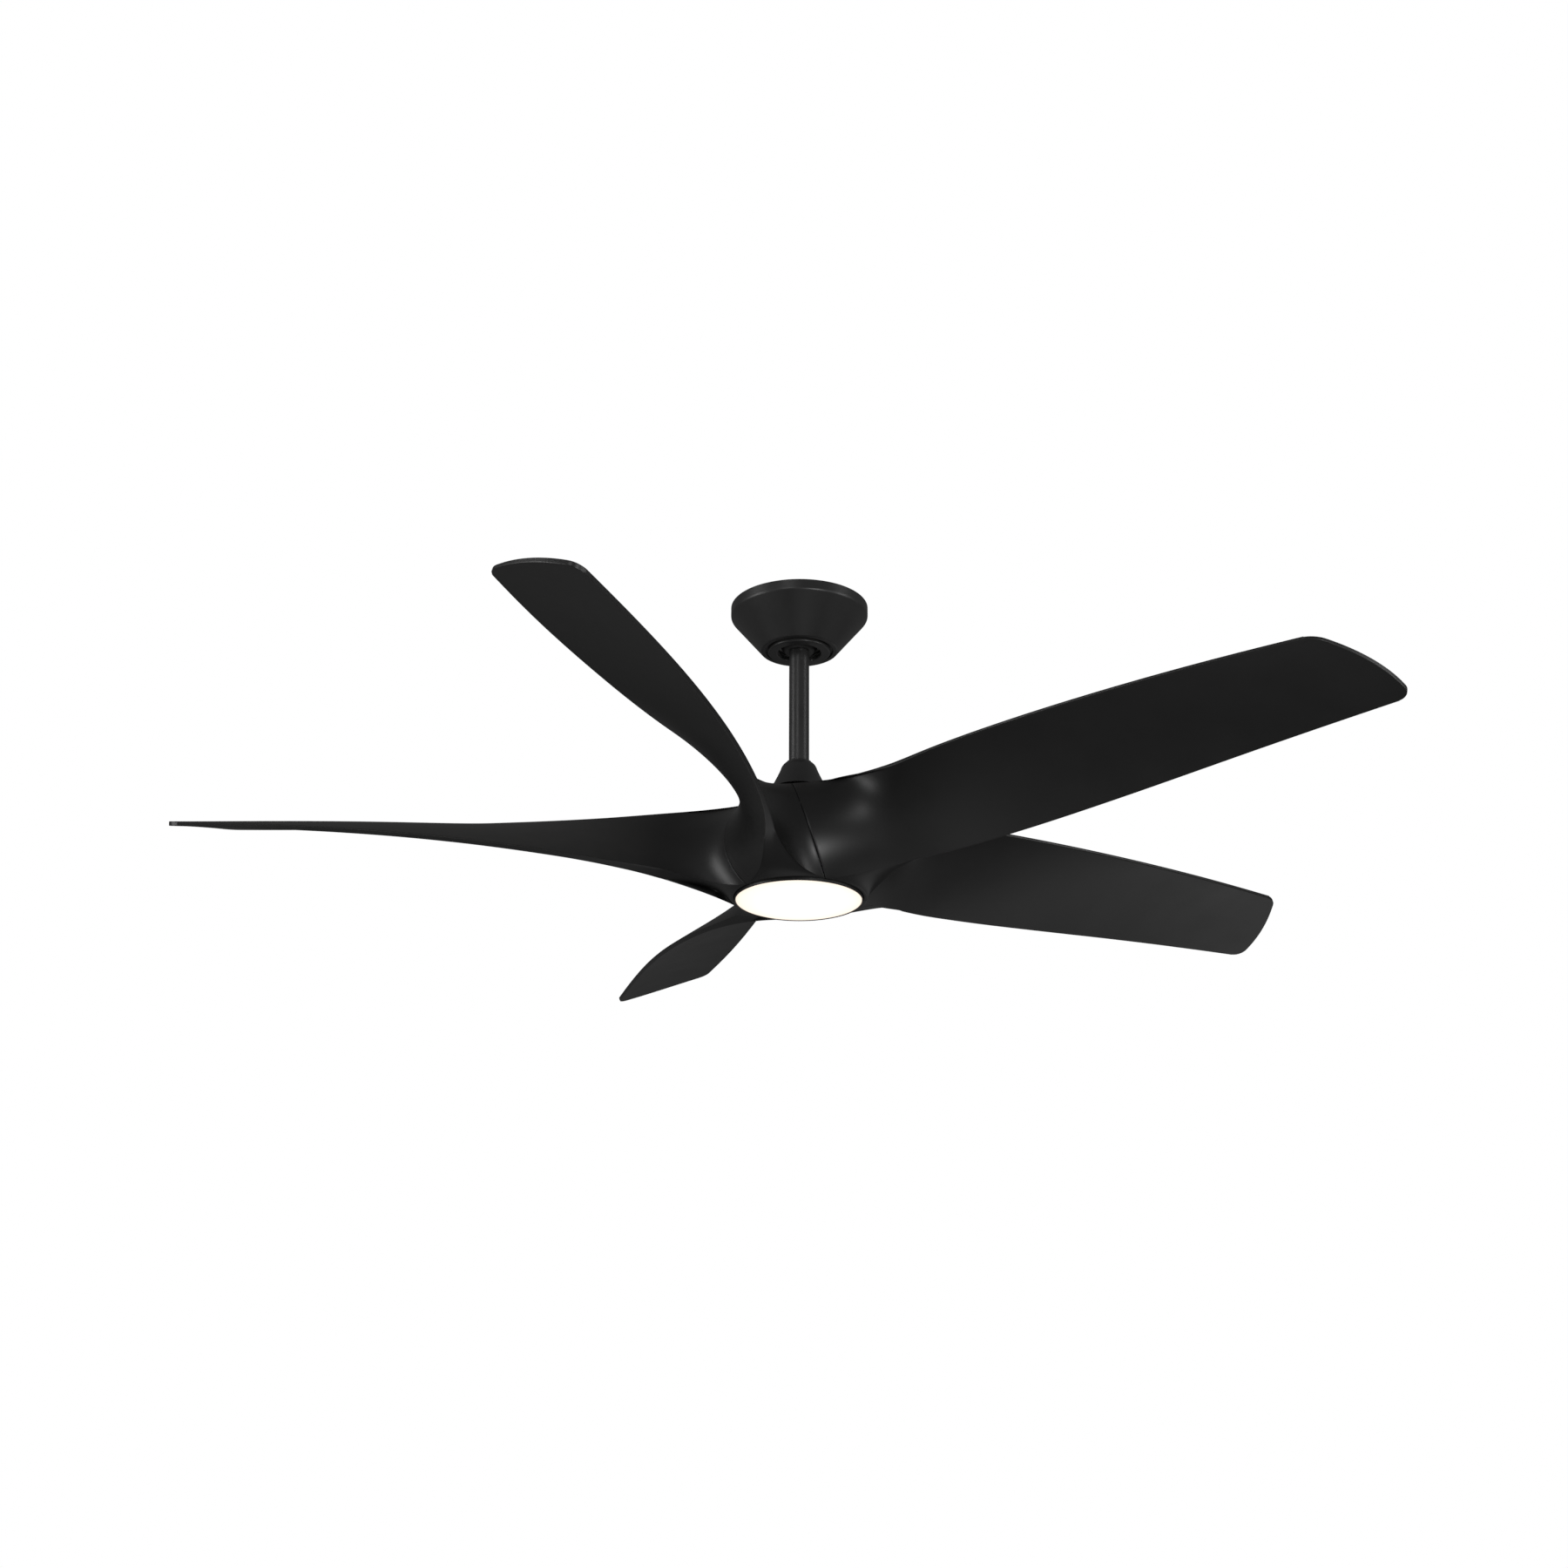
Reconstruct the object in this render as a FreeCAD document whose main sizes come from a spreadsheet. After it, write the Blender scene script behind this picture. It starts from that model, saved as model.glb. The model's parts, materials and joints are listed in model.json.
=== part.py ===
import FreeCAD, Part
import math
import os
import re
import Sketcher
from FreeCAD import Placement, Rotation, Vector

os.makedirs("parts", exist_ok=True)

# A five-blade ceiling fan with a light. The origin is on the fan's axis at the ceiling,
# +Z is up, and the fan hangs below: every level is negative and counted from the ceiling.

DIMENSIONS = {
    # canopy and its trim ring
    "canopy_radius": 87.3, "canopy_band": 12.0, "canopy_foot_radius": 48.5, "canopy_wall": 1.5,
    "canopy_top": -1.0, "canopy_bottom": -61.5, "canopy_corner": 4.0,
    "recess_radius": 43.0, "recess_depth": 2.5, "canopy_hole": 29.8,
    "ring_radius": 39.5, "ring_hole": 27.5, "ring_bottom": -64.5, "ring_wall": 1.4,
    "canopy_screw_offset": 34.2,
    # hanger bracket, hanger ball and the pin that keys them
    "plate_length": 104.0, "plate_width": 36.0, "plate_thickness": 2.5,
    "box_screw_offset": 44.45, "slot_radius": 2.4, "slot_length": 12.0, "wire_hole": 11.0,
    "leg_offset": 42.5, "foot_level": -56.0,
    "ball_level": -44.0, "ball_radius": 26.0, "ball_gap": 0.3, "ball_half_height": 19.0,
    "socket_radius": 30.0, "socket_lip": 6.0, "socket_slot": 27.0,
    "key_radius": 3.0, "key_start": 21.5, "key_end": 33.0, "key_fit": 0.05, "key_gap": 0.3,
    "key_groove_half": 13.0,
    # downrod and coupling
    "rod_radius": 12.7, "rod_bore": 10.3, "rod_top": -30.0, "rod_bottom": -246.0, "rod_fit": 0.05,
    "cross_pin_radius": 2.5, "bolt_radius": 3.0, "bolt_level": -236.0, "clip_offset": 19.9,
    "lead_radius": 1.0,
    "coupling_radius": 17.5, "coupling_top": -222.0, "coupling_bottom": -258.0,
    "set_screw_radius": 2.5, "set_screw_level": -228.0,
    # coupling cover
    "cover_top": -213.5, "cover_lip_radius": 15.8, "cover_shoulder_radius": 20.5,
    "cover_shoulder": -219.0, "cover_foot_radius": 37.0, "cover_foot": -252.5, "cover_wall": 1.6,
    # motor
    "shaft_radius": 8.5, "shaft_bore": 5.5, "shaft_top": -250.0, "shaft_bottom": -380.0,
    "housing_radius": 74.0, "housing_top": -304.0, "housing_bottom": -364.0,
    "housing_split": -334.0, "housing_wall": 3.0, "housing_bore": 14.5,
    "flange_radius": 80.0, "flange_half": 3.0,
    "bearing_radius": 20.0, "bearing_width": 12.0, "upper_bearing": -320.0, "lower_bearing": -360.0,
    "race_ring": 3.0, "bearing_ball_radius": 3.1, "bearing_ball_circle": 14.25, "bearing_gap": 0.25,
    "stator_radius": 66.0, "stator_hub_radius": 34.0, "stator_half": 12.0, "stator_level": -334.0,
    "tooth_width": 8.0, "tooth_root": 30.0, "shoe_start": 60.0, "shoe_angle": 25.0,
    "magnet_thickness": 4.0, "magnet_half": 17.0, "coil_wall": 3.6, "coil_gap": 0.4,
    # light kit
    "lens_level": -396.0, "lens_radius": 77.4, "lens_drop": 9.0, "lens_wall": 2.0,
    "skirt_radius": 72.0, "skirt_top": -386.0, "lug_radius": 74.0, "lug_height": 2.0,
    "bezel_radius": 79.2, "bezel_wall": 1.4, "bezel_top": -384.0,
    "pan_radius": 76.5, "pan_top": -370.0, "pan_wall": 2.0,
    "led_board_radius": 62.0, "led_board_level": -383.0, "led_board_thickness": 1.6,
    # blades and the hub shell that their roots form
    "sweep_radius": 787.4, "hub_arc_offset": 11.5, "hub_arc_radius": 89.0, "hub_arc_level": -341.0,
    "hub_wall": 3.0, "hub_top": -256.0, "hub_bottom": -393.0,
    "seam_pivot": -278.0, "seam_angle": -58.6, "seam_tilt": 17.7, "seam_half_gap": 0.4,
    "first_blade_angle": -35.2, "pad_bottom": -304.0, "pad_thickness": 5.0, "pad_inner": 56.0,
    "blade_screw_circle": 66.0, "blade_screw_radius": 2.5,
}
BLADE_COUNT = 5
SLOT_COUNT = 12
BALLS_PER_BEARING = 8

# Blade stations: radius, chord, pitch in degrees, sideways place of the chord's middle, height of
# the leading edge above the lens, camber, and thickness at the trailing edge, middle and leading edge.
BLADE_STATIONS = [
    (42.0, 132.0, 75.0, -16.0, 135.0, 0.0, 40.0, 84.0, 40.0),
    (70.0, 129.0, 73.0, -16.0, 132.5, 0.0, 34.0, 80.0, 28.0),
    (92.0, 125.0, 71.5, -16.0, 130.5, 0.0, 25.0, 62.0, 20.0),
    (112.0, 121.0, 69.5, -16.0, 129.5, 0.0, 16.0, 36.0, 15.0),
    (140.0, 117.5, 65.5, -16.0, 129.0, 0.0, 9.5, 19.0, 10.5),
    (178.0, 120.5, 56.0, -14.5, 128.5, 0.0, 7.0, 11.5, 7.5),
    (220.0, 129.0, 47.0, -14.5, 128.5, 0.5, 6.2, 9.0, 6.0),
    (320.0, 145.0, 34.2, -17.5, 128.5, 2.5, 6.0, 7.5, 5.0),
    (460.0, 153.5, 25.2, -24.0, 128.5, 6.0, 6.0, 7.0, 4.5),
    (625.0, 146.5, 19.9, -33.5, 127.5, 5.5, 6.0, 6.5, 4.5),
    (800.0, 126.0, 17.6, -41.0, 126.0, 1.5, 5.5, 5.5, 4.5),
]
# The tip's outline: the trailing corner is the outermost point, and the leading corner is swept back.
TIP_MIDDLE = (771.5, -41.0)
TIP_LEADING = (736.0, -97.0)
TIP_TRAILING = (785.5, 8.0)

document = FreeCAD.newDocument("CeilingFan")
sheet = document.addObject("Spreadsheet::Sheet", "Dimensions")
for row_number, (alias, number) in enumerate(DIMENSIONS.items(), start=1):
    sheet.set(f"A{row_number}", alias)
    sheet.set(f"B{row_number}", str(number))
    sheet.setAlias(f"B{row_number}", alias)
document.recompute()

NAMED_CELL = re.compile(r"[a-z][a-z_]+")
node_objects = []


def bound(expression):
    """The expression as another object reads it, with every alias taken from the sheet."""
    return NAMED_CELL.sub(
        lambda found: "Dimensions." + found.group() if found.group() in DIMENSIONS else found.group(),
        str(expression),
    )


def size(expression):
    """The number that an expression in the sheet's aliases has now."""
    return float(sheet.evalExpression(str(expression)))


def bind(item, **properties):
    """Bind properties to expressions. A double underscore in a keyword stands for a dot."""
    for name, expression in properties.items():
        item.setExpression(name.replace("__", "."), bound(expression))


def node(item, label):
    """Give a sub-part its label and list it as a node."""
    item.Label = label
    node_objects.append(item)
    return item


def new_body(name):
    return document.addObject("PartDesign::Body", name)


def sketch_on(body, role, level=None):
    """An empty sketch on one of the body's origin planes, lifted to a level where one is given."""
    sketch = body.newObject("Sketcher::SketchObject", body.Name + "_outline")
    plane = next(item for item in body.Origin.OriginFeatures if item.Role == role)
    sketch.AttachmentSupport = [(plane, "")]
    sketch.MapMode = "FlatFace"
    if level is not None:
        bind(sketch, AttachmentOffset__Base__z=level)
    return sketch


def arc_between(start, end, radius):
    """The shorter arc between two corners. A positive radius puts its centre on the left of the
    way from start to end, and the arc is always drawn anticlockwise, as a sketch needs it."""
    along = end - start
    half = along.Length / 2.0
    side = math.copysign(1.0, radius)
    left = Vector(-along.y, along.x, 0).normalize() * side
    reach = math.sqrt(max(radius * radius - half * half, 0.0))
    centre = (start + end) * 0.5 + left * reach
    crown = centre - left * abs(radius)
    return Part.Arc(start, crown, end) if radius > 0 else Part.Arc(end, crown, start)


def draw_loop(sketch, corners):
    """Draw a closed outline. A corner is (across, up), with a third value, the radius of the arc
    to the next corner, where that side is round. Every corner is fixed by bound constraints."""
    places = [Vector(size(corner[0]), size(corner[1]), 0) for corner in corners]
    first = sketch.GeometryCount
    total = len(corners)
    for index, corner in enumerate(corners):
        start, end = places[index], places[(index + 1) % total]
        if len(corner) == 3:
            sketch.addGeometry(arc_between(start, end, size(corner[2])), False)
        else:
            sketch.addGeometry(Part.LineSegment(start, end), False)
    # An arc with its centre on the right is stored from its end to its start.
    backwards = [len(corner) == 3 and size(corner[2]) < 0 for corner in corners]
    starts = [2 if turned_round else 1 for turned_round in backwards]
    ends = [1 if turned_round else 2 for turned_round in backwards]
    constraints, expressions = [], []
    for index, corner in enumerate(corners):
        after = (index + 1) % total
        constraints.append(Sketcher.Constraint(
            "Coincident", first + index, ends[index], first + after, starts[after]))
        expressions.append(None)
        for kind, expression, number in (("DistanceX", corner[0], places[index].x),
                                         ("DistanceY", corner[1], places[index].y)):
            constraints.append(Sketcher.Constraint(
                kind, -1, 1, first + index, starts[index], number))
            expressions.append(str(expression))
        if len(corner) == 3:
            radius = size(corner[2])
            constraints.append(Sketcher.Constraint("Radius", first + index, abs(radius)))
            expressions.append(f"abs({corner[2]})")
    row = sketch.ConstraintCount
    sketch.addConstraint(constraints)
    for offset, expression in enumerate(expressions):
        if expression is not None:
            sketch.setExpression(f"Constraints[{row + offset}]", bound(expression))
    return sketch


def turned(name, *outlines):
    """A body turned about the fan's axis from outlines of (radius, level) corners."""
    body = new_body(name)
    sketch = sketch_on(body, "XZ_Plane")
    for corners in outlines:
        draw_loop(sketch, corners)
    revolution = body.newObject("PartDesign::Revolution", name + "_turning")
    revolution.Profile = sketch
    revolution.ReferenceAxis = (sketch, ["V_Axis"])
    revolution.Angle = 360
    return body


def slab(name, corners, bottom, thickness):
    """A body that is one flat outline of (x, y) corners, padded upwards from its bottom level."""
    body = new_body(name)
    sketch = draw_loop(sketch_on(body, "XY_Plane", bottom), corners)
    pad = body.newObject("PartDesign::Pad", name + "_pad")
    pad.Profile = sketch
    bind(pad, Length=thickness)
    return body


def across(name, corners, width):
    """A body that is one outline of (x, level) corners, padded to both sides of the XZ plane."""
    body = new_body(name)
    sketch = draw_loop(sketch_on(body, "XZ_Plane"), corners)
    pad = body.newObject("PartDesign::Pad", name + "_pad")
    pad.Profile = sketch
    pad.SideType = "Symmetric"
    bind(pad, Length=width)
    return body


def rod(name, radius, length, place=(0, 0, 0), direction=(0, 0, 1)):
    """A round bar that starts at a place and runs along a direction."""
    item = document.addObject("Part::Cylinder", name)
    bind(item, Radius=radius, Height=length)
    item.Placement = Placement(Vector(*[size(number) for number in place]),
                               Rotation(Vector(0, 0, 1), Vector(*direction)))
    return item


def block(name, length, width, height, corner):
    """A box from its lowest corner."""
    item = document.addObject("Part::Box", name)
    bind(item, Length=length, Width=width, Height=height,
         Placement__Base__x=corner[0], Placement__Base__y=corner[1], Placement__Base__z=corner[2])
    return item


def joined(name, *pieces):
    item = document.addObject("Part::MultiFuse", name)
    item.Shapes = list(pieces)
    return item


def cut(name, base, *tools):
    item = document.addObject("Part::Cut", name)
    item.Base = base
    item.Tool = tools[0] if len(tools) == 1 else joined(name + "_tools", *tools)
    return item


def ring_places(count, radius, level, start_angle=0.0):
    """Placements spaced evenly round the fan's axis, each turned to face outwards."""
    places = []
    for number in range(count):
        angle = start_angle + 360.0 * number / count
        turn = Rotation(Vector(0, 0, 1), angle)
        places.append(Placement(turn.multVec(Vector(radius, 0, 0)) + Vector(0, 0, level), turn))
    return places


def repeated(label, pattern, places):
    """One node that holds a separate copy of the pattern at every place."""
    document.recompute()
    copies = []
    for place in places:
        copy = pattern.Shape.copy()
        copy.Placement = place.multiply(copy.Placement)
        copies.append(copy)
    item = document.addObject("Part::Feature", label)
    item.Shape = Part.Compound(copies)
    return node(item, label)


def pan_head_screw(name, shank_radius, shank_length, head_radius, head_height):
    """A screw with its head's underside at the origin and its shank pointing up."""
    body = turned(name, [("0", f"-({head_height})"), (f"{head_radius} * 0.6", f"-({head_height})"),
                         (f"{head_radius}", f"-({head_height}) * 0.45"), (head_radius, "0"),
                         (shank_radius, "0"), (shank_radius, f"{shank_length} - 0.6"),
                         (f"{shank_radius} - 0.6", shank_length), ("0", shank_length)])
    recess = block(name + "_slot", f"{head_radius} * 1.3", "0.9", f"{head_height} * 0.4",
                   (f"-{head_radius} * 0.65", "-0.45", f"-({head_height}) - 0.01"))
    return cut(name + "_slotted", body, recess)


# ---------------------------------------------------------------- canopy and hanger

def make_canopy():
    """A spun shell: a short upright band, a straight cone and a recessed flat foot with a hole."""
    inner = "canopy_radius - canopy_wall"
    shell = turned("canopy_shell", [
        ("canopy_radius - 1", "canopy_top"),
        ("canopy_radius", "canopy_top - 1"),
        ("canopy_radius", "canopy_top - canopy_band", "-9"),
        ("canopy_radius - 2.2", "canopy_top - canopy_band - 4.6"),
        ("canopy_foot_radius + 1.6", "canopy_bottom + 2.6", "-canopy_corner"),
        ("canopy_foot_radius - 2", "canopy_bottom"),
        ("recess_radius", "canopy_bottom"),
        ("recess_radius", "canopy_bottom + recess_depth"),
        ("canopy_hole", "canopy_bottom + recess_depth"),
        ("canopy_hole", "canopy_bottom + recess_depth + canopy_wall"),
        ("canopy_foot_radius - 1", "canopy_bottom + recess_depth + canopy_wall"),
        (f"{inner} - 1.9", "canopy_top - canopy_band - 3.8"),
        (inner, "canopy_top - canopy_band"),
        (inner, "canopy_top"),
    ])
    holes = [rod(f"canopy_screw_hole_{side}", "2.3", "8",
                 (f"{sign} * canopy_screw_offset", "0", "canopy_bottom - 1"))
             for side, sign in (("right", 1), ("left", -1))]
    return node(cut("canopy", shell, *holes), "canopy")


def make_canopy_ring():
    """A hollow trim ring, snapped over the canopy's foot, that hides the canopy screws."""
    ring = turned("canopy_ring", [
        ("ring_hole", "ring_bottom + 1.5"),
        ("ring_hole + 1.5", "ring_bottom"),
        ("ring_radius - 2", "ring_bottom", "2"),
        ("ring_radius", "ring_bottom + 2"),
        ("ring_radius", "canopy_bottom + recess_depth"),
        ("ring_radius - ring_wall", "canopy_bottom + recess_depth"),
        ("ring_radius - ring_wall", "ring_bottom + ring_wall"),
        ("ring_hole + ring_wall", "ring_bottom + ring_wall"),
        ("ring_hole + ring_wall", "canopy_bottom + recess_depth + 1"),
        ("ring_hole", "canopy_bottom + recess_depth + 1"),
    ])
    return node(ring, "canopy_ring")


def make_hanger_bracket():
    """A folded steel strap with slots for the ceiling box and a socket ring for the ball."""
    foot_top = "foot_level + plate_thickness"
    inner_leg = "leg_offset - plate_thickness"
    strap = across("bracket_strap", [
        ("-plate_length / 2", "0"), ("-plate_length / 2", "-plate_thickness"),
        ("-leg_offset", "-plate_thickness"), ("-leg_offset", "foot_level"),
        ("leg_offset", "foot_level"), ("leg_offset", "-plate_thickness"),
        ("plate_length / 2", "-plate_thickness"), ("plate_length / 2", "0"),
    ], "plate_width")
    window = across("bracket_window", [
        (f"-({inner_leg})", "-plate_thickness"), (f"-({inner_leg})", foot_top),
        (inner_leg, foot_top), (inner_leg, "-plate_thickness"),
    ], "plate_width + 2")
    frame = cut("bracket_frame", strap, window)
    ring = turned("bracket_ring", [
        ("ball_radius - 4", "foot_level"), ("socket_radius", "foot_level"),
        ("socket_radius", "ball_level + socket_lip"),
        ("ball_radius - 4", "ball_level + socket_lip"),
    ])
    solid = joined("bracket_solid", frame, ring)
    seat_radius = "ball_radius + ball_gap"
    depth = "(ball_level - foot_level)"
    seat = turned("bracket_seat", [
        ("0", "foot_level - 1"),
        (f"sqrt(({seat_radius})^2 - {depth}^2)", "foot_level - 1"),
        (f"sqrt(({seat_radius})^2 - {depth}^2)", "foot_level", seat_radius),
        (seat_radius, "ball_level"),
        (seat_radius, "ball_level + socket_lip + 1"),
        ("0", "ball_level + socket_lip + 1"),
    ])
    entry = block("bracket_entry", "socket_slot", "socket_radius + 10", "socket_radius",
                  ("-socket_slot / 2", "-socket_radius - 10", "foot_level - 1"))
    key_hole = rod("bracket_key_hole", "key_radius + key_fit", "20",
                   ("key_start - 1", "0", "ball_level"), (1, 0, 0))
    tools = [seat, entry, key_hole]
    straight = "(slot_length - 2 * slot_radius)"
    for side, sign in (("right", 1), ("left", -1)):
        for end in (-1, 1):
            tools.append(rod(f"bracket_slot_{side}_{end + 1}", "slot_radius", "plate_thickness + 2",
                             (f"{sign} * box_screw_offset + {end} * {straight} / 2", "0",
                              "-plate_thickness - 1")))
        tools.append(block(f"bracket_slot_{side}_middle", straight, "2 * slot_radius",
                           "plate_thickness + 2",
                           (f"{sign} * box_screw_offset - {straight} / 2", "-slot_radius",
                            "-plate_thickness - 1")))
        tools.append(rod(f"bracket_foot_hole_{side}", "2.0", "plate_thickness + 2",
                         (f"{sign} * canopy_screw_offset", "0", "foot_level - 1")))
    tools.append(rod("bracket_wire_hole", "wire_hole", "plate_thickness + 2",
                     ("0", "0", "-plate_thickness - 1")))
    tools.append(rod("bracket_ground_hole", "1.9", "plate_thickness + 2",
                     ("28", "10", "-plate_thickness - 1")))
    return node(cut("hanger_bracket", solid, *tools), "hanger_bracket")


def make_root_fittings():
    """Canopy screws, the earth screw and the control receiver that sits over the ball."""
    screw = pan_head_screw("canopy_screw", "2.0", "7", "3.6", "1.8")
    level = size("canopy_bottom + recess_depth")
    offset = size("canopy_screw_offset")
    repeated("canopy_screws", screw, [Placement(Vector(side * offset, 0, level), Rotation())
                                      for side in (-1, 1)])
    earth = pan_head_screw("earth_screw_pattern", "1.9", "5", "3.5", "2.0")
    repeated("earth_screw", earth, [Placement(Vector(28, 10, size("-plate_thickness")), Rotation())])
    case = block("receiver_case", "58", "30", "11.5", ("-36", "-15", "-17"))
    terminal = block("receiver_terminals", "8", "20", "7", ("22", "-10", "-15"))
    antenna = rod("receiver_antenna", "0.9", "26", ("-36", "11", "-9"), (0, -1, 0))
    node(joined("receiver_module", case, terminal, antenna), "receiver_module")


def make_registration_pin():
    """The pin that keys the ball's groove, so that the ball tilts but doesn't turn."""
    shank = rod("registration_shank", "key_radius", "key_end - key_start",
                ("key_start", "0", "ball_level"), (1, 0, 0))
    head = rod("registration_head", "key_radius + 2", "2",
               ("socket_radius + 0.4", "0", "ball_level"), (1, 0, 0))
    return node(joined("registration_pin", shank, head), "registration_pin")


# ---------------------------------------------------------------- downrod and coupling

def make_hanger_ball():
    """A ball cut flat at top and bottom, bored for the rod and grooved for the key."""
    cap = "sqrt(ball_radius^2 - ball_half_height^2)"
    ball = turned("ball_turning", [
        ("rod_radius + rod_fit", "ball_level - ball_half_height"),
        (cap, "ball_level - ball_half_height", "ball_radius"),
        (cap, "ball_level + ball_half_height"),
        ("rod_radius + rod_fit", "ball_level + ball_half_height"),
    ])
    groove = block("ball_groove", "10", "2 * (key_radius + key_gap)", "2 * key_groove_half",
                   ("key_start - 1", "-(key_radius + key_gap)", "ball_level - key_groove_half"))
    pin_hole = rod("ball_pin_hole", "cross_pin_radius", "2 * ball_radius",
                   ("0", "-ball_radius", "ball_level"), (0, 1, 0))
    screw_hole = rod("ball_screw_hole", "2.5", "ball_radius",
                     ("-ball_radius", "0", "ball_level"), (1, 0, 0))
    return node(cut("hanger_ball", ball, groove, pin_hole, screw_hole), "hanger_ball")


def make_rod_parts():
    """The downrod, the two cross pins that hold it, and the set screws that steady it."""
    tube = turned("downrod_tube", [
        ("rod_bore", "rod_bottom"), ("rod_radius", "rod_bottom"),
        ("rod_radius", "rod_top"), ("rod_bore", "rod_top"),
    ])
    upper_hole = rod("downrod_upper_hole", "cross_pin_radius", "40", ("0", "-20", "ball_level"),
                     (0, 1, 0))
    lower_hole = rod("downrod_lower_hole", "bolt_radius", "40", ("0", "-20", "bolt_level"),
                     (0, 1, 0))
    node(cut("downrod", tube, upper_hole, lower_hole), "downrod")
    cross_pin = rod("ball_cross_pin", "cross_pin_radius", "2 * (rod_radius + 6)",
                    ("0", "-rod_radius - 6", "ball_level"), (0, 1, 0))
    node(cross_pin, "ball_cross_pin")
    set_screw = rod("ball_set_screw", "2.5", "ball_radius - rod_radius - 2",
                    ("-ball_radius + 2", "0", "ball_level"), (1, 0, 0))
    node(set_screw, "ball_set_screw")
    shank = rod("coupling_bolt_shank", "bolt_radius", "2 * coupling_radius + 4.5",
                ("0", "-coupling_radius", "bolt_level"), (0, 1, 0))
    head = rod("coupling_bolt_head", "5", "2.5", ("0", "-coupling_radius - 2.5", "bolt_level"),
               (0, 1, 0))
    clip_hole = rod("coupling_bolt_clip_hole", "1.1", "12", ("-6", "clip_offset", "bolt_level"),
                    (1, 0, 0))
    node(cut("coupling_bolt", joined("coupling_bolt_solid", shank, head), clip_hole),
         "coupling_bolt")
    leg = rod("cotter_leg", "1.0", "13", ("-7", "clip_offset", "bolt_level"), (1, 0, 0))
    eye = rod("cotter_eye", "2.2", "1.6", ("7.4", "clip_offset - 0.8", "bolt_level"), (0, 1, 0))
    eye_hole = rod("cotter_eye_hole", "1.0", "4", ("7.6", "clip_offset - 2", "bolt_level"), (0, 1, 0))
    node(cut("coupling_cotter", joined("cotter_solid", leg, eye), eye_hole), "coupling_cotter")


def make_coupling():
    """The yoke that holds the rod's foot and screws onto the hollow motor shaft."""
    solid = turned("coupling_turning", [
        ("shaft_radius", "coupling_bottom"), ("coupling_radius", "coupling_bottom"),
        ("coupling_radius", "coupling_top - 1"), ("coupling_radius - 1", "coupling_top"),
        ("rod_radius + rod_fit", "coupling_top"), ("rod_radius + rod_fit", "rod_bottom - 1"),
        ("shaft_radius", "rod_bottom - 1"),
    ])
    bolt_hole = rod("coupling_bolt_hole", "bolt_radius", "50", ("0", "-25", "bolt_level"), (0, 1, 0))
    screw_hole = rod("coupling_screw_hole", "set_screw_radius", "50",
                     ("-25", "0", "set_screw_level"), (1, 0, 0))
    node(cut("rod_coupling", solid, bolt_hole, screw_hole), "rod_coupling")
    screw = rod("coupling_set_screw", "set_screw_radius", "coupling_radius - rod_radius + 1.2",
                ("rod_radius", "0", "set_screw_level"), (1, 0, 0))
    repeated("coupling_set_screws", screw, ring_places(2, 0.0, 0.0))


def make_coupling_cover():
    """A bell that slides on the rod: a small lip, a round shoulder and a hollow flare."""
    inner = "cover_foot_radius - cover_wall"
    cover = turned("coupling_cover", [
        ("rod_radius + 0.3", "cover_top"),
        ("cover_lip_radius - 1", "cover_top"),
        ("cover_lip_radius", "cover_top - 1"),
        ("cover_lip_radius", "cover_top - 2.5"),
        ("cover_shoulder_radius - 3", "cover_top - 2.8", "-5"),
        ("cover_shoulder_radius + 0.7", "cover_shoulder - 1.5"),
        ("cover_shoulder_radius + 4.5", "cover_shoulder - 12", "60"),
        ("cover_foot_radius", "cover_foot"),
        (inner, "cover_foot", "-60"),
        ("cover_shoulder_radius + 2.9", "cover_shoulder - 12"),
        ("cover_shoulder_radius - 1", "cover_shoulder - 1.8"),
        ("cover_lip_radius", "cover_top - 4.5"),
        ("rod_radius + 0.3", "cover_top - 4.5"),
    ])
    return node(cover, "coupling_cover")


# ---------------------------------------------------------------- motor

def bearing_rings(which, inner_side):
    """The outline of one race ring, with a groove for the balls on its facing side."""
    middle = f"({which} + bearing_width / 2)"
    groove = "(bearing_ball_radius + bearing_gap)"
    low, high = which, f"{which} + bearing_width"
    if inner_side:
        land = "(shaft_radius + race_ring)"
        half = f"sqrt({groove}^2 - (bearing_ball_circle - {land})^2)"
        return [("shaft_radius", low), (land, low), (land, f"{middle} - {half}", f"-{groove}"),
                (land, f"{middle} + {half}"), (land, high), ("shaft_radius", high)]
    land = "(bearing_radius - race_ring)"
    half = f"sqrt({groove}^2 - ({land} - bearing_ball_circle)^2)"
    return [("bearing_radius", low), ("bearing_radius", high), (land, high),
            (land, f"{middle} + {half}", f"-{groove}"), (land, f"{middle} - {half}"), (land, low)]


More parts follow.
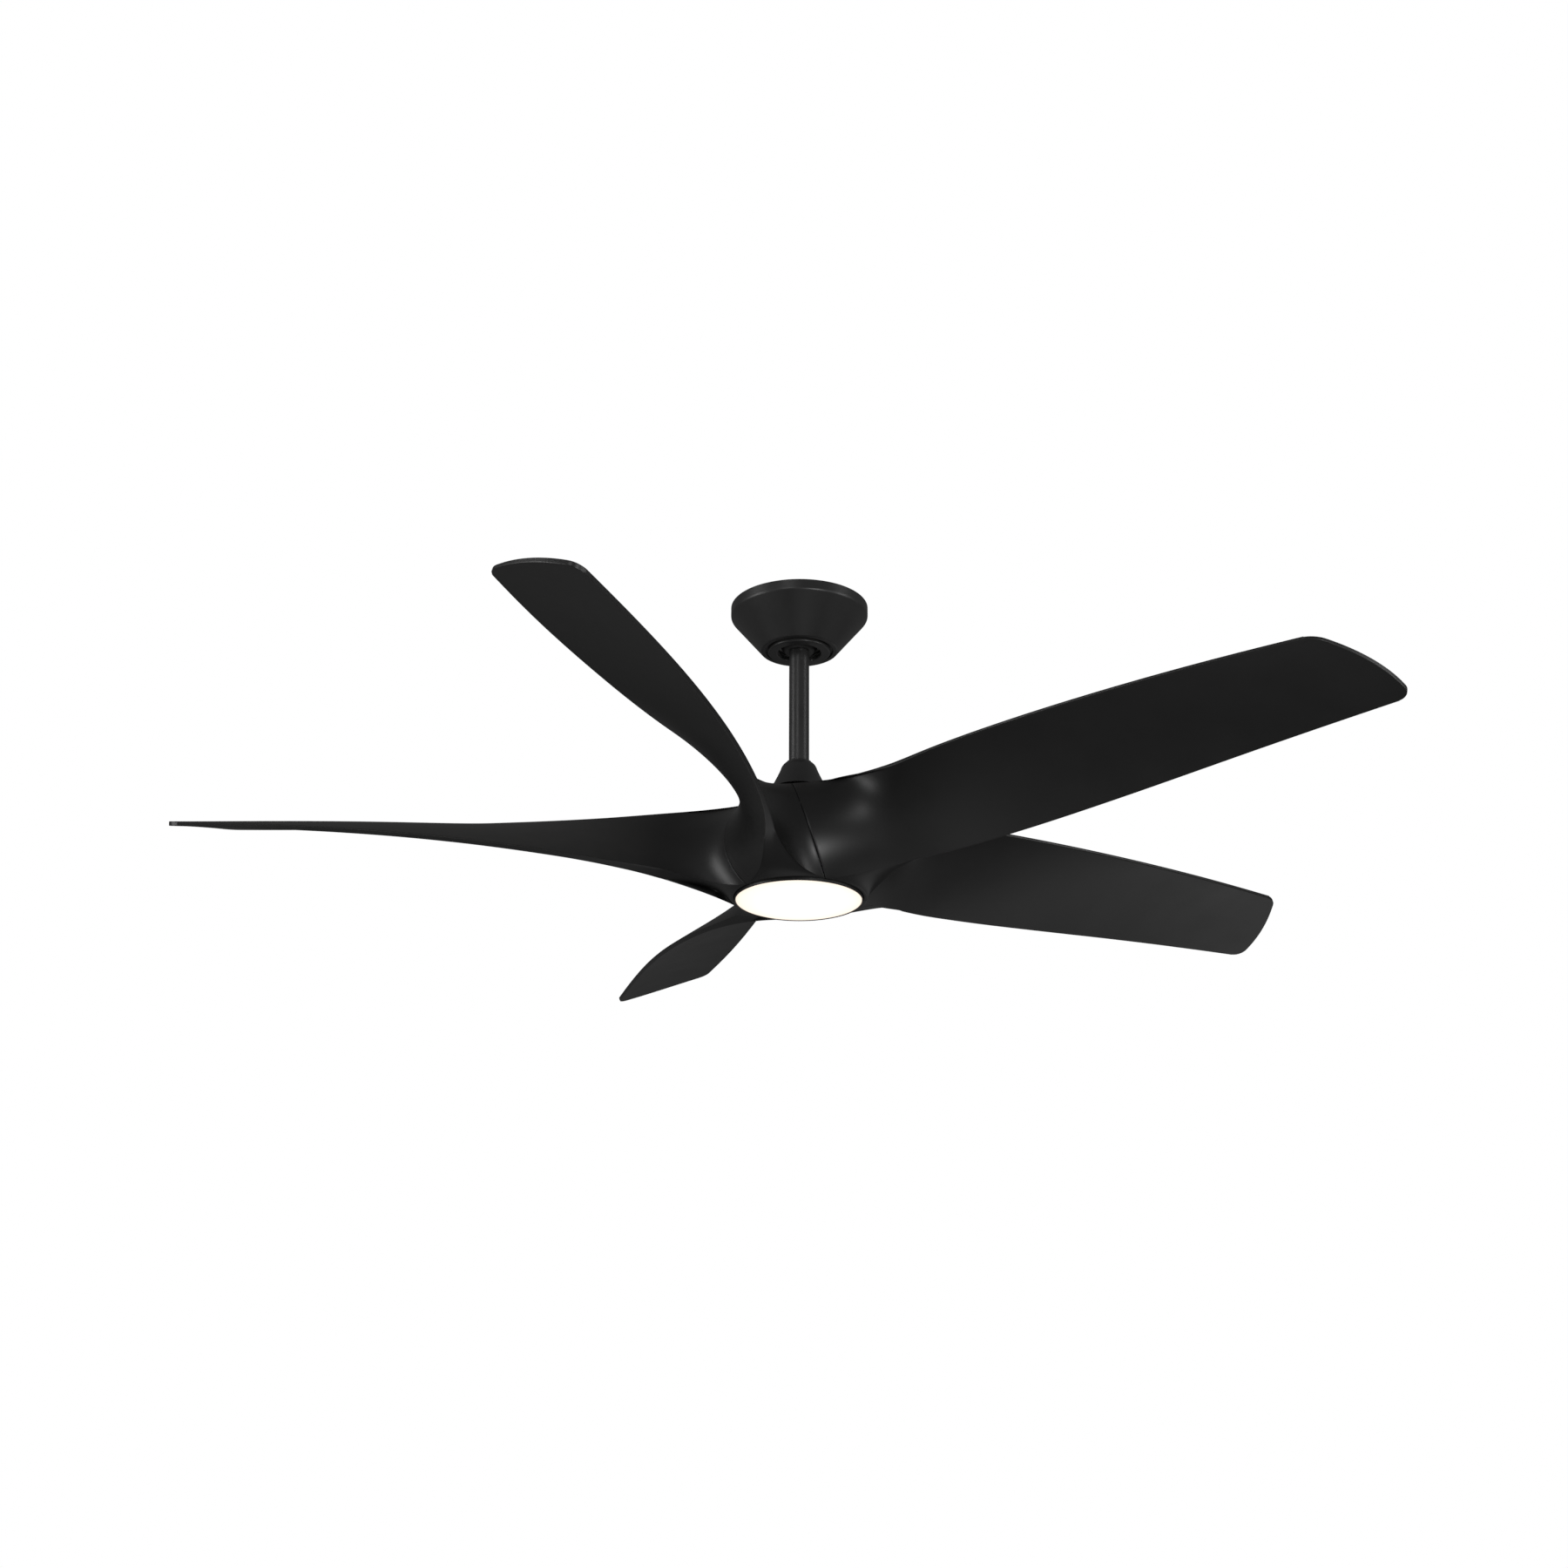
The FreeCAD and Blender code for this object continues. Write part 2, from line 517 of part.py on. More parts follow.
def make_bearings():
    """Two deep-groove ball bearings: inner races on the shaft, outer races in the housing."""
    levels = ("upper_bearing", "lower_bearing")
    node(turned("bearing_inner_races", *[bearing_rings(name, True) for name in levels]),
         "bearing_inner_races")
    node(turned("bearing_outer_races", *[bearing_rings(name, False) for name in levels]),
         "bearing_outer_races")
    ball = document.addObject("Part::Sphere", "bearing_ball")
    bind(ball, Radius="bearing_ball_radius")
    places = []
    for name in levels:
        middle = size(f"{name} + bearing_width / 2")
        places += ring_places(BALLS_PER_BEARING, size("bearing_ball_circle"), middle)
    repeated("bearing_balls", ball, places)
    rims = []
    for name in levels:
        middle = f"({name} + bearing_width / 2)"
        rims.append([("bearing_ball_circle - 1", f"{middle} - 4.5"),
                     ("bearing_ball_circle + 1", f"{middle} - 4.5"),
                     ("bearing_ball_circle + 1", f"{middle} + 4.5"),
                     ("bearing_ball_circle - 1", f"{middle} + 4.5")])
    rims_body = turned("cage_rims", *rims)
    document.recompute()
    pockets = document.addObject("Part::Feature", "cage_pockets")
    pockets.Shape = Part.Compound([
        Part.makeCylinder(size("bearing_ball_radius + 0.15"), 8,
                          place.Base - place.Rotation.multVec(Vector(4, 0, 0)),
                          place.Rotation.multVec(Vector(1, 0, 0)))
        for place in places])
    node(cut("bearing_cages", rims_body, pockets), "bearing_cages")


def make_shaft_parts():
    """The fixed hollow shaft, its nut, and the leads that run down through it."""
    shaft = turned("motor_shaft", [
        ("shaft_bore", "shaft_bottom"), ("shaft_radius - 1", "shaft_bottom"),
        ("shaft_radius", "shaft_bottom + 1"), ("shaft_radius", "shaft_top"),
        ("shaft_bore", "shaft_top"),
    ])
    node(shaft, "motor_shaft")
    across_flats = 12.5
    corner = across_flats / math.cos(math.radians(30))
    corners = [(str(corner * math.cos(math.radians(60 * k))), str(corner * math.sin(math.radians(60 * k))))
               for k in range(6)]
    blank = slab("shaft_nut_blank", corners, "pan_top - pan_wall - 6", "6")
    hole = rod("shaft_nut_hole", "shaft_radius", "10", ("0", "0", "pan_top - pan_wall - 8"))
    node(cut("shaft_nut", blank, hole), "shaft_nut")
    lead = rod("supply_lead", "lead_radius", "rod_top - shaft_bottom + 6",
               ("0", "0", "shaft_bottom - 4"))
    beside_bolt = size("bolt_radius + lead_radius + 0.25")
    apart = size("lead_radius + 0.05")
    repeated("supply_leads", lead, [Placement(Vector(x, y, 0), Rotation()) for x, y in
                                    ((beside_bolt, apart), (beside_bolt, -apart), (-beside_bolt, 0))])


def make_housings():
    """The two cast cups of the outer rotor, bolted together at their flanges."""
    wall = "housing_radius - housing_wall"
    seat = "bearing_radius"
    boss = "bearing_radius + 4"
    upper = turned("housing_upper_turning", [
        ("housing_bore", "housing_top"), ("housing_bore", "housing_top - 4"),
        (seat, "housing_top - 4"),
        (seat, "upper_bearing"), (boss, "upper_bearing"), (boss, "housing_top - housing_wall"),
        (wall, "housing_top - housing_wall"), (wall, "housing_split"),
        ("flange_radius", "housing_split"), ("flange_radius", "housing_split + flange_half"),
        ("housing_radius", "housing_split + flange_half"),
        ("housing_radius", "housing_top - 2"), ("housing_radius - 2", "housing_top"),
    ])
    lower = turned("housing_lower_turning", [
        ("housing_bore", "housing_bottom"), ("housing_radius - 2", "housing_bottom"),
        ("housing_radius", "housing_bottom + 2"),
        ("housing_radius", "housing_split - flange_half"),
        ("flange_radius", "housing_split - flange_half"), ("flange_radius", "housing_split"),
        (wall, "housing_split"), (wall, "housing_bottom + housing_wall"),
        (boss, "housing_bottom + housing_wall"), (boss, "lower_bearing + bearing_width"),
        (seat, "lower_bearing + bearing_width"), (seat, "lower_bearing"),
        ("housing_bore", "lower_bearing"),
    ])
    circle = size("(housing_radius + flange_radius) / 2 + 0.4")
    split = size("housing_split")
    for half, body in (("upper", upper), ("lower", lower)):
        tools = [rod(f"housing_{half}_hole_{number}", "1.6", "8",
                     (str(place.Base.x), str(place.Base.y), str(split - 4)))
                 for number, place in enumerate(ring_places(BLADE_COUNT, circle, split, 10.0))]
        if half == "upper":
            for number, place in enumerate(blade_screw_places("housing_top")):
                tools.append(rod(f"housing_blade_hole_{number}", "blade_screw_radius - 0.4", "8",
                                 (str(place.Base.x), str(place.Base.y), "housing_top - 7")))
        node(cut(f"rotor_housing_{half}", body, *tools), f"rotor_housing_{half}")
    screw = pan_head_screw("housing_screw", "1.6", "6", "2.4", "1.6")
    repeated("housing_screws", screw,
             ring_places(BLADE_COUNT, circle, split - size("flange_half"), 10.0))
    magnets = turned("magnet_ring", [
        ("housing_radius - housing_wall - magnet_thickness", "stator_level - magnet_half"),
        ("housing_radius - housing_wall", "stator_level - magnet_half"),
        ("housing_radius - housing_wall", "stator_level + magnet_half"),
        ("housing_radius - housing_wall - magnet_thickness", "stator_level + magnet_half"),
    ])
    node(magnets, "magnet_ring")


def make_stator():
    """A slotted core on the shaft, with one coil on every tooth."""
    bottom = "stator_level - stator_half"
    height = "2 * stator_half"
    hub = turned("stator_hub", [
        ("shaft_radius", bottom), ("stator_hub_radius", bottom),
        ("stator_hub_radius", f"{bottom} + {height}"), ("shaft_radius", f"{bottom} + {height}"),
    ])
    tooth = block("stator_tooth", "shoe_start - tooth_root + 2", "tooth_width", height,
                  ("tooth_root", "-tooth_width / 2", bottom))
    shoe = document.addObject("Part::Cylinder", "stator_shoe")
    bind(shoe, Radius="stator_radius", Height=height, Angle="shoe_angle")
    shoe.Placement = Placement(Vector(0, 0, size(bottom)),
                               Rotation(Vector(0, 0, 1), -size("shoe_angle") / 2))
    shoe_bore = rod("stator_shoe_bore", "shoe_start", height, ("0", "0", bottom))
    arm = joined("stator_arm", tooth, cut("stator_shoe_ring", shoe, shoe_bore))
    document.recompute()
    arms = document.addObject("Part::Feature", "stator_arms")
    arms.Shape = Part.Compound([arm.Shape.copy().transformGeometry(place.toMatrix())
                                for place in ring_places(SLOT_COUNT, 0.0, 0.0)])
    node(joined("stator_core", hub, arms), "stator_core")
    reach = "shoe_start - stator_hub_radius - 2 * coil_gap - 5.2"
    side = "(tooth_width / 2 + coil_gap)"
    coil_outer = block("coil_outer", reach, f"2 * ({side} + coil_wall)",
                       f"{height} + 2 * (coil_gap + coil_wall)",
                       ("stator_hub_radius + coil_gap + 4", f"-({side} + coil_wall)",
                        f"{bottom} - coil_gap - coil_wall"))
    rounded = document.addObject("Part::Fillet", "coil_rounded")
    rounded.Base = coil_outer
    document.recompute()
    along = [number + 1 for number, edge in enumerate(coil_outer.Shape.Edges)
             if abs(edge.tangentAt(edge.FirstParameter).x) > 0.9]
    rounded.Edges = [(number, 2.5, 2.5) for number in along]
    coil_inner = block("coil_inner", f"{reach} + 2", f"2 * {side}", f"{height} + 2 * coil_gap",
                       ("stator_hub_radius + coil_gap + 3", f"-{side}", f"{bottom} - coil_gap"))
    coil = cut("stator_coil", rounded, coil_inner)
    repeated("stator_windings", coil, ring_places(SLOT_COUNT, 0.0, 0.0))


def make_driver_board():
    """The motor's driver board, a ring under the stator, with its tall parts."""
    board = turned("driver_board_ring", [
        ("28", "housing_bottom + 6"), ("62", "housing_bottom + 6"),
        ("62", "housing_bottom + 7.6"), ("28", "housing_bottom + 7.6"),
    ])
    parts = [board]
    post_length = "stator_level - stator_half - housing_bottom - 7"
    for number, place in enumerate(ring_places(3, 31.0, 0.0, 45.0)):
        parts.append(rod(f"driver_board_post_{number}", "2", post_length,
                         (str(place.Base.x), str(place.Base.y), "housing_bottom + 7")))
    for number, angle in enumerate((20, 75, 140, 200, 260, 320)):
        part = document.addObject("Part::Box", f"driver_component_{number}")
        part.Length, part.Width, part.Height = 8, 10, 2.4
        turn = Rotation(Vector(0, 0, 1), angle)
        part.Placement = Placement(turn.multVec(Vector(42, -5, 0))
                                   + Vector(0, 0, size("housing_bottom + 7.5")), turn)
        parts.append(part)
    node(joined("motor_driver_board", *parts), "motor_driver_board")


# ---------------------------------------------------------------- light kit

def make_light_pan():
    """The pressed aluminium pan that carries the light and sheds its heat."""
    pan = turned("light_pan_turning", [
        ("shaft_radius", "pan_top - pan_wall"), ("shaft_radius", "pan_top"),
        ("pan_radius - 6", "pan_top", "-6"), ("pan_radius", "pan_top - 6"),
        ("pan_radius", "bezel_top"), ("pan_radius - pan_wall", "bezel_top"),
        ("pan_radius - pan_wall", "pan_top - 6", "4"),
        ("pan_radius - pan_wall - 4", "pan_top - pan_wall"),
    ])
    posts = []
    for number, place in enumerate(ring_places(3, 52.0, size("led_board_level"), 90.0)):
        level = "led_board_level + led_board_thickness"
        posts.append(rod(f"light_pan_post_{number}", "3.5", f"pan_top - pan_wall - ({level}) + 0.5",
                         (str(place.Base.x), str(place.Base.y), level)))
    pan_solid = joined("light_pan_solid", pan, *posts)
    holes = [rod(f"light_pan_post_hole_{number}", "1.5", "8",
                 (str(place.Base.x), str(place.Base.y), "led_board_level"))
             for number, place in enumerate(ring_places(3, 52.0, 0.0, 90.0))]
    node(cut("light_pan", pan_solid, *holes), "light_pan")


def make_led_parts():
    """The LED board on its posts, the LEDs on its underside, its screws and the LED driver."""
    top = "led_board_level + led_board_thickness"
    board = turned("led_board_disc", [
        ("15", "led_board_level"), ("led_board_radius", "led_board_level"),
        ("led_board_radius", top), ("15", top),
    ])
    holes = [rod(f"led_board_hole_{number}", "1.6", "4",
                 (str(place.Base.x), str(place.Base.y), "led_board_level - 1"))
             for number, place in enumerate(ring_places(3, 52.0, 0.0, 90.0))]
    node(cut("led_board", board, *holes), "led_board")
    chip = block("led_chip", "3.5", "2.8", "0.8", ("-1.75", "-1.4", "-0.8"))
    level = size("led_board_level")
    chips = ring_places(18, 44.0, level, 0.0) + ring_places(12, 28.0, level, 0.0)
    repeated("led_chips", chip, chips)
    screw = pan_head_screw("led_screw", "1.5", "6", "2.7", "1.2")
    repeated("led_board_screws", screw, ring_places(3, 52.0, level, 90.0))
    driver = block("led_driver_case", "46", "22", "7", ("-23", "22", "pan_top - pan_wall - 7"))
    node(driver, "led_driver")


def make_lens_ring():
    """The stationary bezel round the lens, with ledges that the lens's lugs lock over."""
    ring = turned("lens_ring_turning", [
        ("bezel_radius - bezel_wall", "lens_level - 0.6"), ("bezel_radius", "lens_level"),
        ("bezel_radius", "bezel_top"), ("skirt_radius + 2.4", "bezel_top"),
        ("skirt_radius + 2.4", "skirt_top - lug_height - 1.3"),
        ("skirt_radius + 0.3", "skirt_top - lug_height - 1.3"),
        ("skirt_radius + 0.3", "lens_level + 3.2"),
        ("bezel_radius - bezel_wall", "lens_level + 3.2"),
    ])
    gaps = []
    for number, place in enumerate(ring_places(3, 0.0, 0.0, 24.0)):
        gap = document.addObject("Part::Cylinder", f"lens_ring_gap_{number}")
        bind(gap, Radius="lug_radius + 0.3", Height="20")
        gap.Angle = 14
        gap.Placement = Placement(Vector(0, 0, size("lens_level + 3")), place.Rotation)
        gaps.append(gap)
    node(cut("lens_ring", ring, *gaps), "lens_ring")


def make_lens():
    """A shallow opal dome with an upright skirt and three twist-lock lugs."""
    half = "(lens_radius - 1)"
    dome = f"(({half}^2 + lens_drop^2) / (2 * lens_drop))"
    lens = turned("lens_turning", [
        ("0", "lens_level - lens_drop", dome),
        (half, "lens_level", "1.5"),
        (f"{half} + 0.6", "lens_level + 2.4"),
        ("skirt_radius", "lens_level + 2.4"),
        ("skirt_radius", "skirt_top"),
        ("skirt_radius - lens_wall", "skirt_top"),
        ("skirt_radius - lens_wall", "lens_level + 0.8", f"-({dome} - lens_wall)"),
        ("0", "lens_level - lens_drop + lens_wall"),
    ])
    pieces = [lens]
    for number, place in enumerate(ring_places(3, 0.0, 0.0, 2.0)):
        lug = document.addObject("Part::Cylinder", f"lens_lug_{number}")
        bind(lug, Radius="lug_radius", Height="lug_height")
        lug.Angle = 10
        lug.Placement = Placement(Vector(0, 0, size("skirt_top - lug_height")), place.Rotation)
        pieces.append(lug)
    bore = rod("lens_lug_bore", "skirt_radius - lens_wall / 2", "lug_height + 2",
               ("0", "0", "skirt_top - lug_height - 1"))
    lugs = cut("lens_lugs", joined("lens_lug_sectors", *pieces[1:]), bore)
    node(joined("lens", lens, lugs), "lens")


# ---------------------------------------------------------------- blades

def blade_screw_places(level):
    """Two screws for each blade root, either side of the middle of its share of the hub."""
    spread = 15.0
    middle = size("first_blade_angle + seam_angle") + 36.0 - 2.0
    places = []
    for side in (-spread, spread):
        places += ring_places(BLADE_COUNT, size("blade_screw_circle"), size(level), middle + side)
    return places


def section_wire(station):
    """One closed blade section: concave underside, round leading edge, topside, flat trailing edge."""
    radius, chord, pitch, sideways, height, camber, *thickness = station
    angle = math.radians(pitch)
    forward = Vector(0, -math.cos(angle), math.sin(angle))
    topside = Vector(0, math.sin(angle), math.cos(angle))
    nose_tip = Vector(radius, sideways - chord / 2 * math.cos(angle), size("lens_level") + height)
    trailing = nose_tip - forward * chord
    flank = chord - thickness[2] / 2

    def point(share, side):
        bow = 4 * camber * share * (1 - share)
        at_back, at_middle, at_front = thickness
        depth = (at_back * (1 - share) * (1 - 2 * share) + at_middle * 4 * share * (1 - share)
                 + at_front * share * (2 * share - 1))
        return trailing + forward * (flank * share) + topside * (bow + side * depth / 2)

    shares = (0.0, 0.25, 0.5, 0.75, 1.0)
    under = Part.BSplineCurve()
    under.interpolate([point(share, -1) for share in shares])
    over = Part.BSplineCurve()
    over.interpolate([point(share, 1) for share in reversed(shares)])
    front = Part.Arc(point(1.0, -1), nose_tip, point(1.0, 1))
    back = Part.LineSegment(point(0.0, 1), point(0.0, -1))
    return Part.Wire([under.toShape(), front.toShape(), over.toShape(), back.toShape()])


def make_blade_blank():
    """The blade lofted through its stations, from inside the hub to beyond the tip."""
    sections = []
    for number, station in enumerate(BLADE_STATIONS):
        section = document.addObject("Part::Feature", f"blade_section_{number}")
        section.Shape = section_wire(station)
        sections.append(section)
    loft = document.addObject("Part::Loft", "blade_loft")
    loft.Sections = sections
    loft.Solid = True
    loft.Ruled = False
    loft.MaxDegree = 3
    return loft


def make_tip_cutter():
    """Everything beyond the tip's outline, so that cutting it off leaves a raked, rounded tip."""
    outer = "sweep_radius + 60"
    corners = [
        (outer, "40"), ("748", "40"), ("766", "27"), ("779", "20.5", "-20"),
        (str(TIP_TRAILING[0]), str(TIP_TRAILING[1]), "-360"),
        (str(TIP_MIDDLE[0]), str(TIP_MIDDLE[1]), "-360"),
        (str(TIP_LEADING[0]), str(TIP_LEADING[1]), "-16"), ("722", "-105.5"),
        ("706", "-125"), (outer, "-125"),
    ]
    return slab("blade_tip_cutter", corners, "lens_level", "200")


def seam_block(name, degrees, side):
    """A block that fills the space beyond one slanted seam of the root, on the seam's given side."""
    reach = 300.0
    item = document.addObject("Part::Box", name)
    item.Length = 2 * reach
    item.Width = reach
    item.Height = 2 * reach
    turn = Rotation(Vector(0, 0, 1), degrees).multiply(Rotation(Vector(1, 0, 0), size("seam_tilt")))
    gap = size("seam_half_gap")
    corner = Vector(-reach, -gap if side > 0 else gap - reach, -reach)
    item.Placement = Placement(turn.multVec(corner) + Vector(0, 0, size("seam_pivot")), turn)
    return item


def make_blades():
    """Each blade is one moulding with its root: a slanted fifth of the hub shell, inside which a
    pad is screwed to the rotor. The first blade is built and the others are turned copies."""
    arc_at = "hub_arc_offset + sqrt({0}^2 - ({1} - hub_arc_level)^2)"
    outer_top = arc_at.format("hub_arc_radius", "hub_top")
    outer_bottom = arc_at.format("hub_arc_radius", "hub_bottom")
    inner_radius = "(hub_arc_radius - hub_wall)"
    inner_top = arc_at.format(inner_radius, "hub_top")
    inner_bottom = arc_at.format(inner_radius, "hub_bottom")
    shell = turned("hub_shell", [
        (outer_bottom, "hub_bottom", "hub_arc_radius"), (outer_top, "hub_top"),
        (inner_top, "hub_top", f"-{inner_radius}"), (inner_bottom, "hub_bottom"),
    ])
    cavity = turned("hub_cavity", [
        ("0", "hub_bottom - 30"), (inner_bottom, "hub_bottom - 30"),
        (inner_bottom, "hub_bottom", inner_radius), (inner_top, "hub_top"),
        (inner_top, "hub_top + 30"), ("0", "hub_top + 30"),
    ])
    under_cut = turned("hub_under_cut", [
        ("0", "hub_bottom - 40"), ("200", "hub_bottom - 40"), ("200", "hub_bottom"),
        ("0", "hub_bottom"),
    ])
    pad_ring = turned("blade_pad_ring", [
        ("pad_inner", "pad_bottom"), ("89", "pad_bottom"),
        ("87.5", "pad_bottom + pad_thickness"), ("pad_inner", "pad_bottom + pad_thickness"),
    ])
    fin = cut("blade_fin", make_blade_blank(), cavity, under_cut, make_tip_cutter())
    moulding = joined("blade_moulding", shell, fin, pad_ring)
    start = size("seam_angle")
    sides = [seam_block("seam_block_before", start, -1),
             seam_block("seam_block_after", start + 360.0 / BLADE_COUNT, 1)]
    turn_back = Placement(Vector(), Rotation(Vector(0, 0, 1), -size("first_blade_angle")))
    holes = []
    for number, place in enumerate(blade_screw_places("pad_bottom")):
        local = turn_back.multVec(place.Base)
        if abs(math.degrees(math.atan2(local.y, local.x)) - size("seam_angle") - 34.0) < 20.0:
            holes.append(rod(f"blade_pad_hole_{number}", "blade_screw_radius + 0.2",
                             "pad_thickness + 4", (str(local.x), str(local.y), "pad_bottom - 2")))
    master = cut("blade_master", moulding, *sides, *holes)
    document.recompute()
    for number in range(BLADE_COUNT):
        angle = size("first_blade_angle") + 360.0 * number / BLADE_COUNT
        blade = document.addObject("Part::Feature", f"blade_{number + 1}")
        blade.Shape = master.Shape.copy()
        blade.Placement = Placement(Vector(), Rotation(Vector(0, 0, 1), angle))
        node(blade, f"blade_{number + 1}")
    screw = pan_head_screw("blade_screw", "blade_screw_radius - 0.4", "9", "4.2", "2.4")
    flipped = [Placement(place.Base, place.Rotation.multiply(Rotation(Vector(1, 0, 0), 180)))
               for place in blade_screw_places("pad_bottom + pad_thickness")]
    repeated("blade_screws", screw, flipped)


make_canopy()
make_canopy_ring()
make_hanger_bracket()
make_root_fittings()
make_registration_pin()
make_hanger_ball()
make_rod_parts()
make_coupling()
make_coupling_cover()
make_shaft_parts()
make_stator()
make_bearings()
make_driver_board()
make_housings()
make_light_pan()
make_led_parts()
make_lens_ring()
make_lens()
make_blades()
document.recompute()

failed = [item.Label for item in document.Objects
          if any(word in item.State for word in ("Invalid", "Error"))]
if failed:
    raise RuntimeError("these objects failed to build: " + ", ".join(failed))
for item in node_objects:
    shape = item.Shape
    if shape.isNull() or not shape.isValid() or not shape.Solids:
        raise RuntimeError(f"{item.Label} has no valid solid")
for item in node_objects:
    item.Shape.exportStep(os.path.join("parts", item.Label + ".step"))
    print(f"{item.Label}: {len(item.Shape.Solids)} solids, {item.Shape.Volume / 1000:.1f} cm3")
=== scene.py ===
import json
import math

import bpy
import numpy as np
from mathutils import Matrix, Vector


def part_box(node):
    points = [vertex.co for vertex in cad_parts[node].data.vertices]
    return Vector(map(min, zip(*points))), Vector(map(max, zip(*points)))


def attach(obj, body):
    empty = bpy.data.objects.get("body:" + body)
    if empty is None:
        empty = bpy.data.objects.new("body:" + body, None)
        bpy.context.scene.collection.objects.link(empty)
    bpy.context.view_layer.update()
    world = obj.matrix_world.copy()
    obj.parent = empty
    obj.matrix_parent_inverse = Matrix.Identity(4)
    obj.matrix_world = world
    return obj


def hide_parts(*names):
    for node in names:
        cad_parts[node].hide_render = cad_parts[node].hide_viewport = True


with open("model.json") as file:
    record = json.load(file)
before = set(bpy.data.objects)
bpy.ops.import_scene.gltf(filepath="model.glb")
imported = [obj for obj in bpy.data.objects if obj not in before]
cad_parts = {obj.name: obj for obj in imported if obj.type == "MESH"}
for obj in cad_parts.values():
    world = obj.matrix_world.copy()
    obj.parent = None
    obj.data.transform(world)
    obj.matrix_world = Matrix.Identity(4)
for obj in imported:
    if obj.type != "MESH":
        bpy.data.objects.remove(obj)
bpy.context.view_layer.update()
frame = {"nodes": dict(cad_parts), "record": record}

# A ceiling fan with a light, hanging below the origin: +Z is up and the axis is at x = y = 0.
# The first blade's line is 35.2 degrees clockwise from +X, seen from above. Blade sizes are in
# millimetres and become metres at one place, MM. Every other size is in metres.
MM = 0.001
BLADE_COUNT = 5
FIRST_BLADE_ANGLE = -35.2
# How far the lens's dome hangs below its rim.
LENS_DROP = 0.009
# Faces that meet at more than this, in degrees, keep a sharp edge.
SHARP_ANGLE = 38.0


def top_of(name):
    """The level of a CAD node's highest point."""
    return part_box(name)[1].z


def bottom_of(name):
    """The level of a CAD node's lowest point."""
    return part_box(name)[0].z


def radius_of(name):
    """The outer radius of a round CAD node."""
    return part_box(name)[1].x


# ---------------------------------------------------------------- mesh tools

def new_piece(name, points, faces, material, body, node):
    """A mesh object that stands for a CAD node, rides on its body and takes its slot's finish."""
    mesh = bpy.data.meshes.new(name)
    mesh.from_pydata([tuple(point) for point in points], [], faces)
    mesh.validate()
    mesh.shade_smooth()
    mesh.set_sharp_from_angle(angle=math.radians(SHARP_ANGLE))
    mesh.materials.append(material)
    piece = bpy.data.objects.new(name, mesh)
    bpy.context.scene.collection.objects.link(piece)
    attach(piece, body)
    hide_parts(node)


def rounded_outline(corners, closed=True, steps=6, support=0.0004):
    """The points of an outline of (radius, level, rounding) corners. Each rounding becomes an arc
    that touches both sides, and each long straight side gets a point close to either end, so that
    its shading stays even."""
    places = [Vector((corner[0], corner[1])) for corner in corners]
    count = len(places)
    runs = []
    for index, place in enumerate(places):
        rounding = corners[index][2] if len(corners[index]) == 3 else 0.0
        is_end = not closed and index in (0, count - 1)
        if rounding == 0.0 or is_end:
            runs.append([place])
            continue
        before = (places[index - 1] - place).normalized()
        after = (places[(index + 1) % count] - place).normalized()
        half = math.acos(max(-1.0, min(1.0, before.dot(after)))) / 2.0
        reach = rounding / math.tan(half)
        centre = place + (before + after).normalized() * (rounding / math.sin(half))
        start = place + before * reach - centre
        end = place + after * reach - centre
        turn = start.angle_signed(end)
        arc = []
        for step in range(steps + 1):
            angle = -turn * step / steps
            arc.append(centre + Matrix.Rotation(angle, 2) @ start)
        runs.append(arc)
    outline = []
    last = count if closed else count - 1
    for index in range(count):
        outline += runs[index]
        if index == last:
            break
        start, end = runs[index][-1], runs[(index + 1) % count][0]
        side = end - start
        if side.length > 6 * support and (closed or index < count - 1):
            outline.append(start + side.normalized() * support)
            outline.append(end - side.normalized() * support)
    return outline


def swept_curve(start, end, bulge, steps=16):
    """Points between start and end on a parabola whose middle stands off the straight line by
    bulge, to the left of the way along it."""
    start, end = Vector(start), Vector(end)
    side = end - start
    left = Vector((-side.y, side.x)).normalized()
    return [start + side * share + left * (4.0 * bulge * share * (1.0 - share))
            for share in (step / steps for step in range(1, steps))]


def turned_mesh(outline, segments=240):
    """Points and faces of an outline of (radius, level) turned about the fan's axis. An outline
    that starts and ends on the axis closes there, and any other closes on itself."""
    on_axis = outline[0][0] < 1e-7 and outline[-1][0] < 1e-7
    rings = outline[1:-1] if on_axis else outline
    points = []
    for radius, level in rings:
        for segment in range(segments):
            angle = 2.0 * math.pi * segment / segments
            points.append((radius * math.cos(angle), radius * math.sin(angle), level))
    faces = []
    count = len(rings)
    for ring in range(count - 1 if on_axis else count):
        here, there = ring * segments, (ring + 1) % count * segments
        for segment in range(segments):
            after = (segment + 1) % segments
            faces.append((here + segment, here + after, there + after, there + segment))
    if on_axis:
        for end, ring, flip in ((outline[0], 0, True), (outline[-1], (count - 1) * segments, False)):
            points.append((0.0, 0.0, end[1]))
            pole = len(points) - 1
            for segment in range(segments):
                after = (segment + 1) % segments
                pair = (ring + after, ring + segment) if flip else (ring + segment, ring + after)
                faces.append((pole, *pair))
    return points, faces


def outline_area(outline):
    """The signed area inside an outline: positive where it runs anticlockwise."""
    total = 0.0
    for index, here in enumerate(outline):
        there = outline[(index + 1) % len(outline)]
        total += here[0] * there[1] - there[0] * here[1]
    return total / 2.0


def merged(points, faces, extra):
    """Points and faces with those of extra solids added."""
    for more_points, more_faces in extra:
        base = len(points)
        points = points + more_points
        faces = faces + [tuple(base + index for index in face) for face in more_faces]
    return points, faces


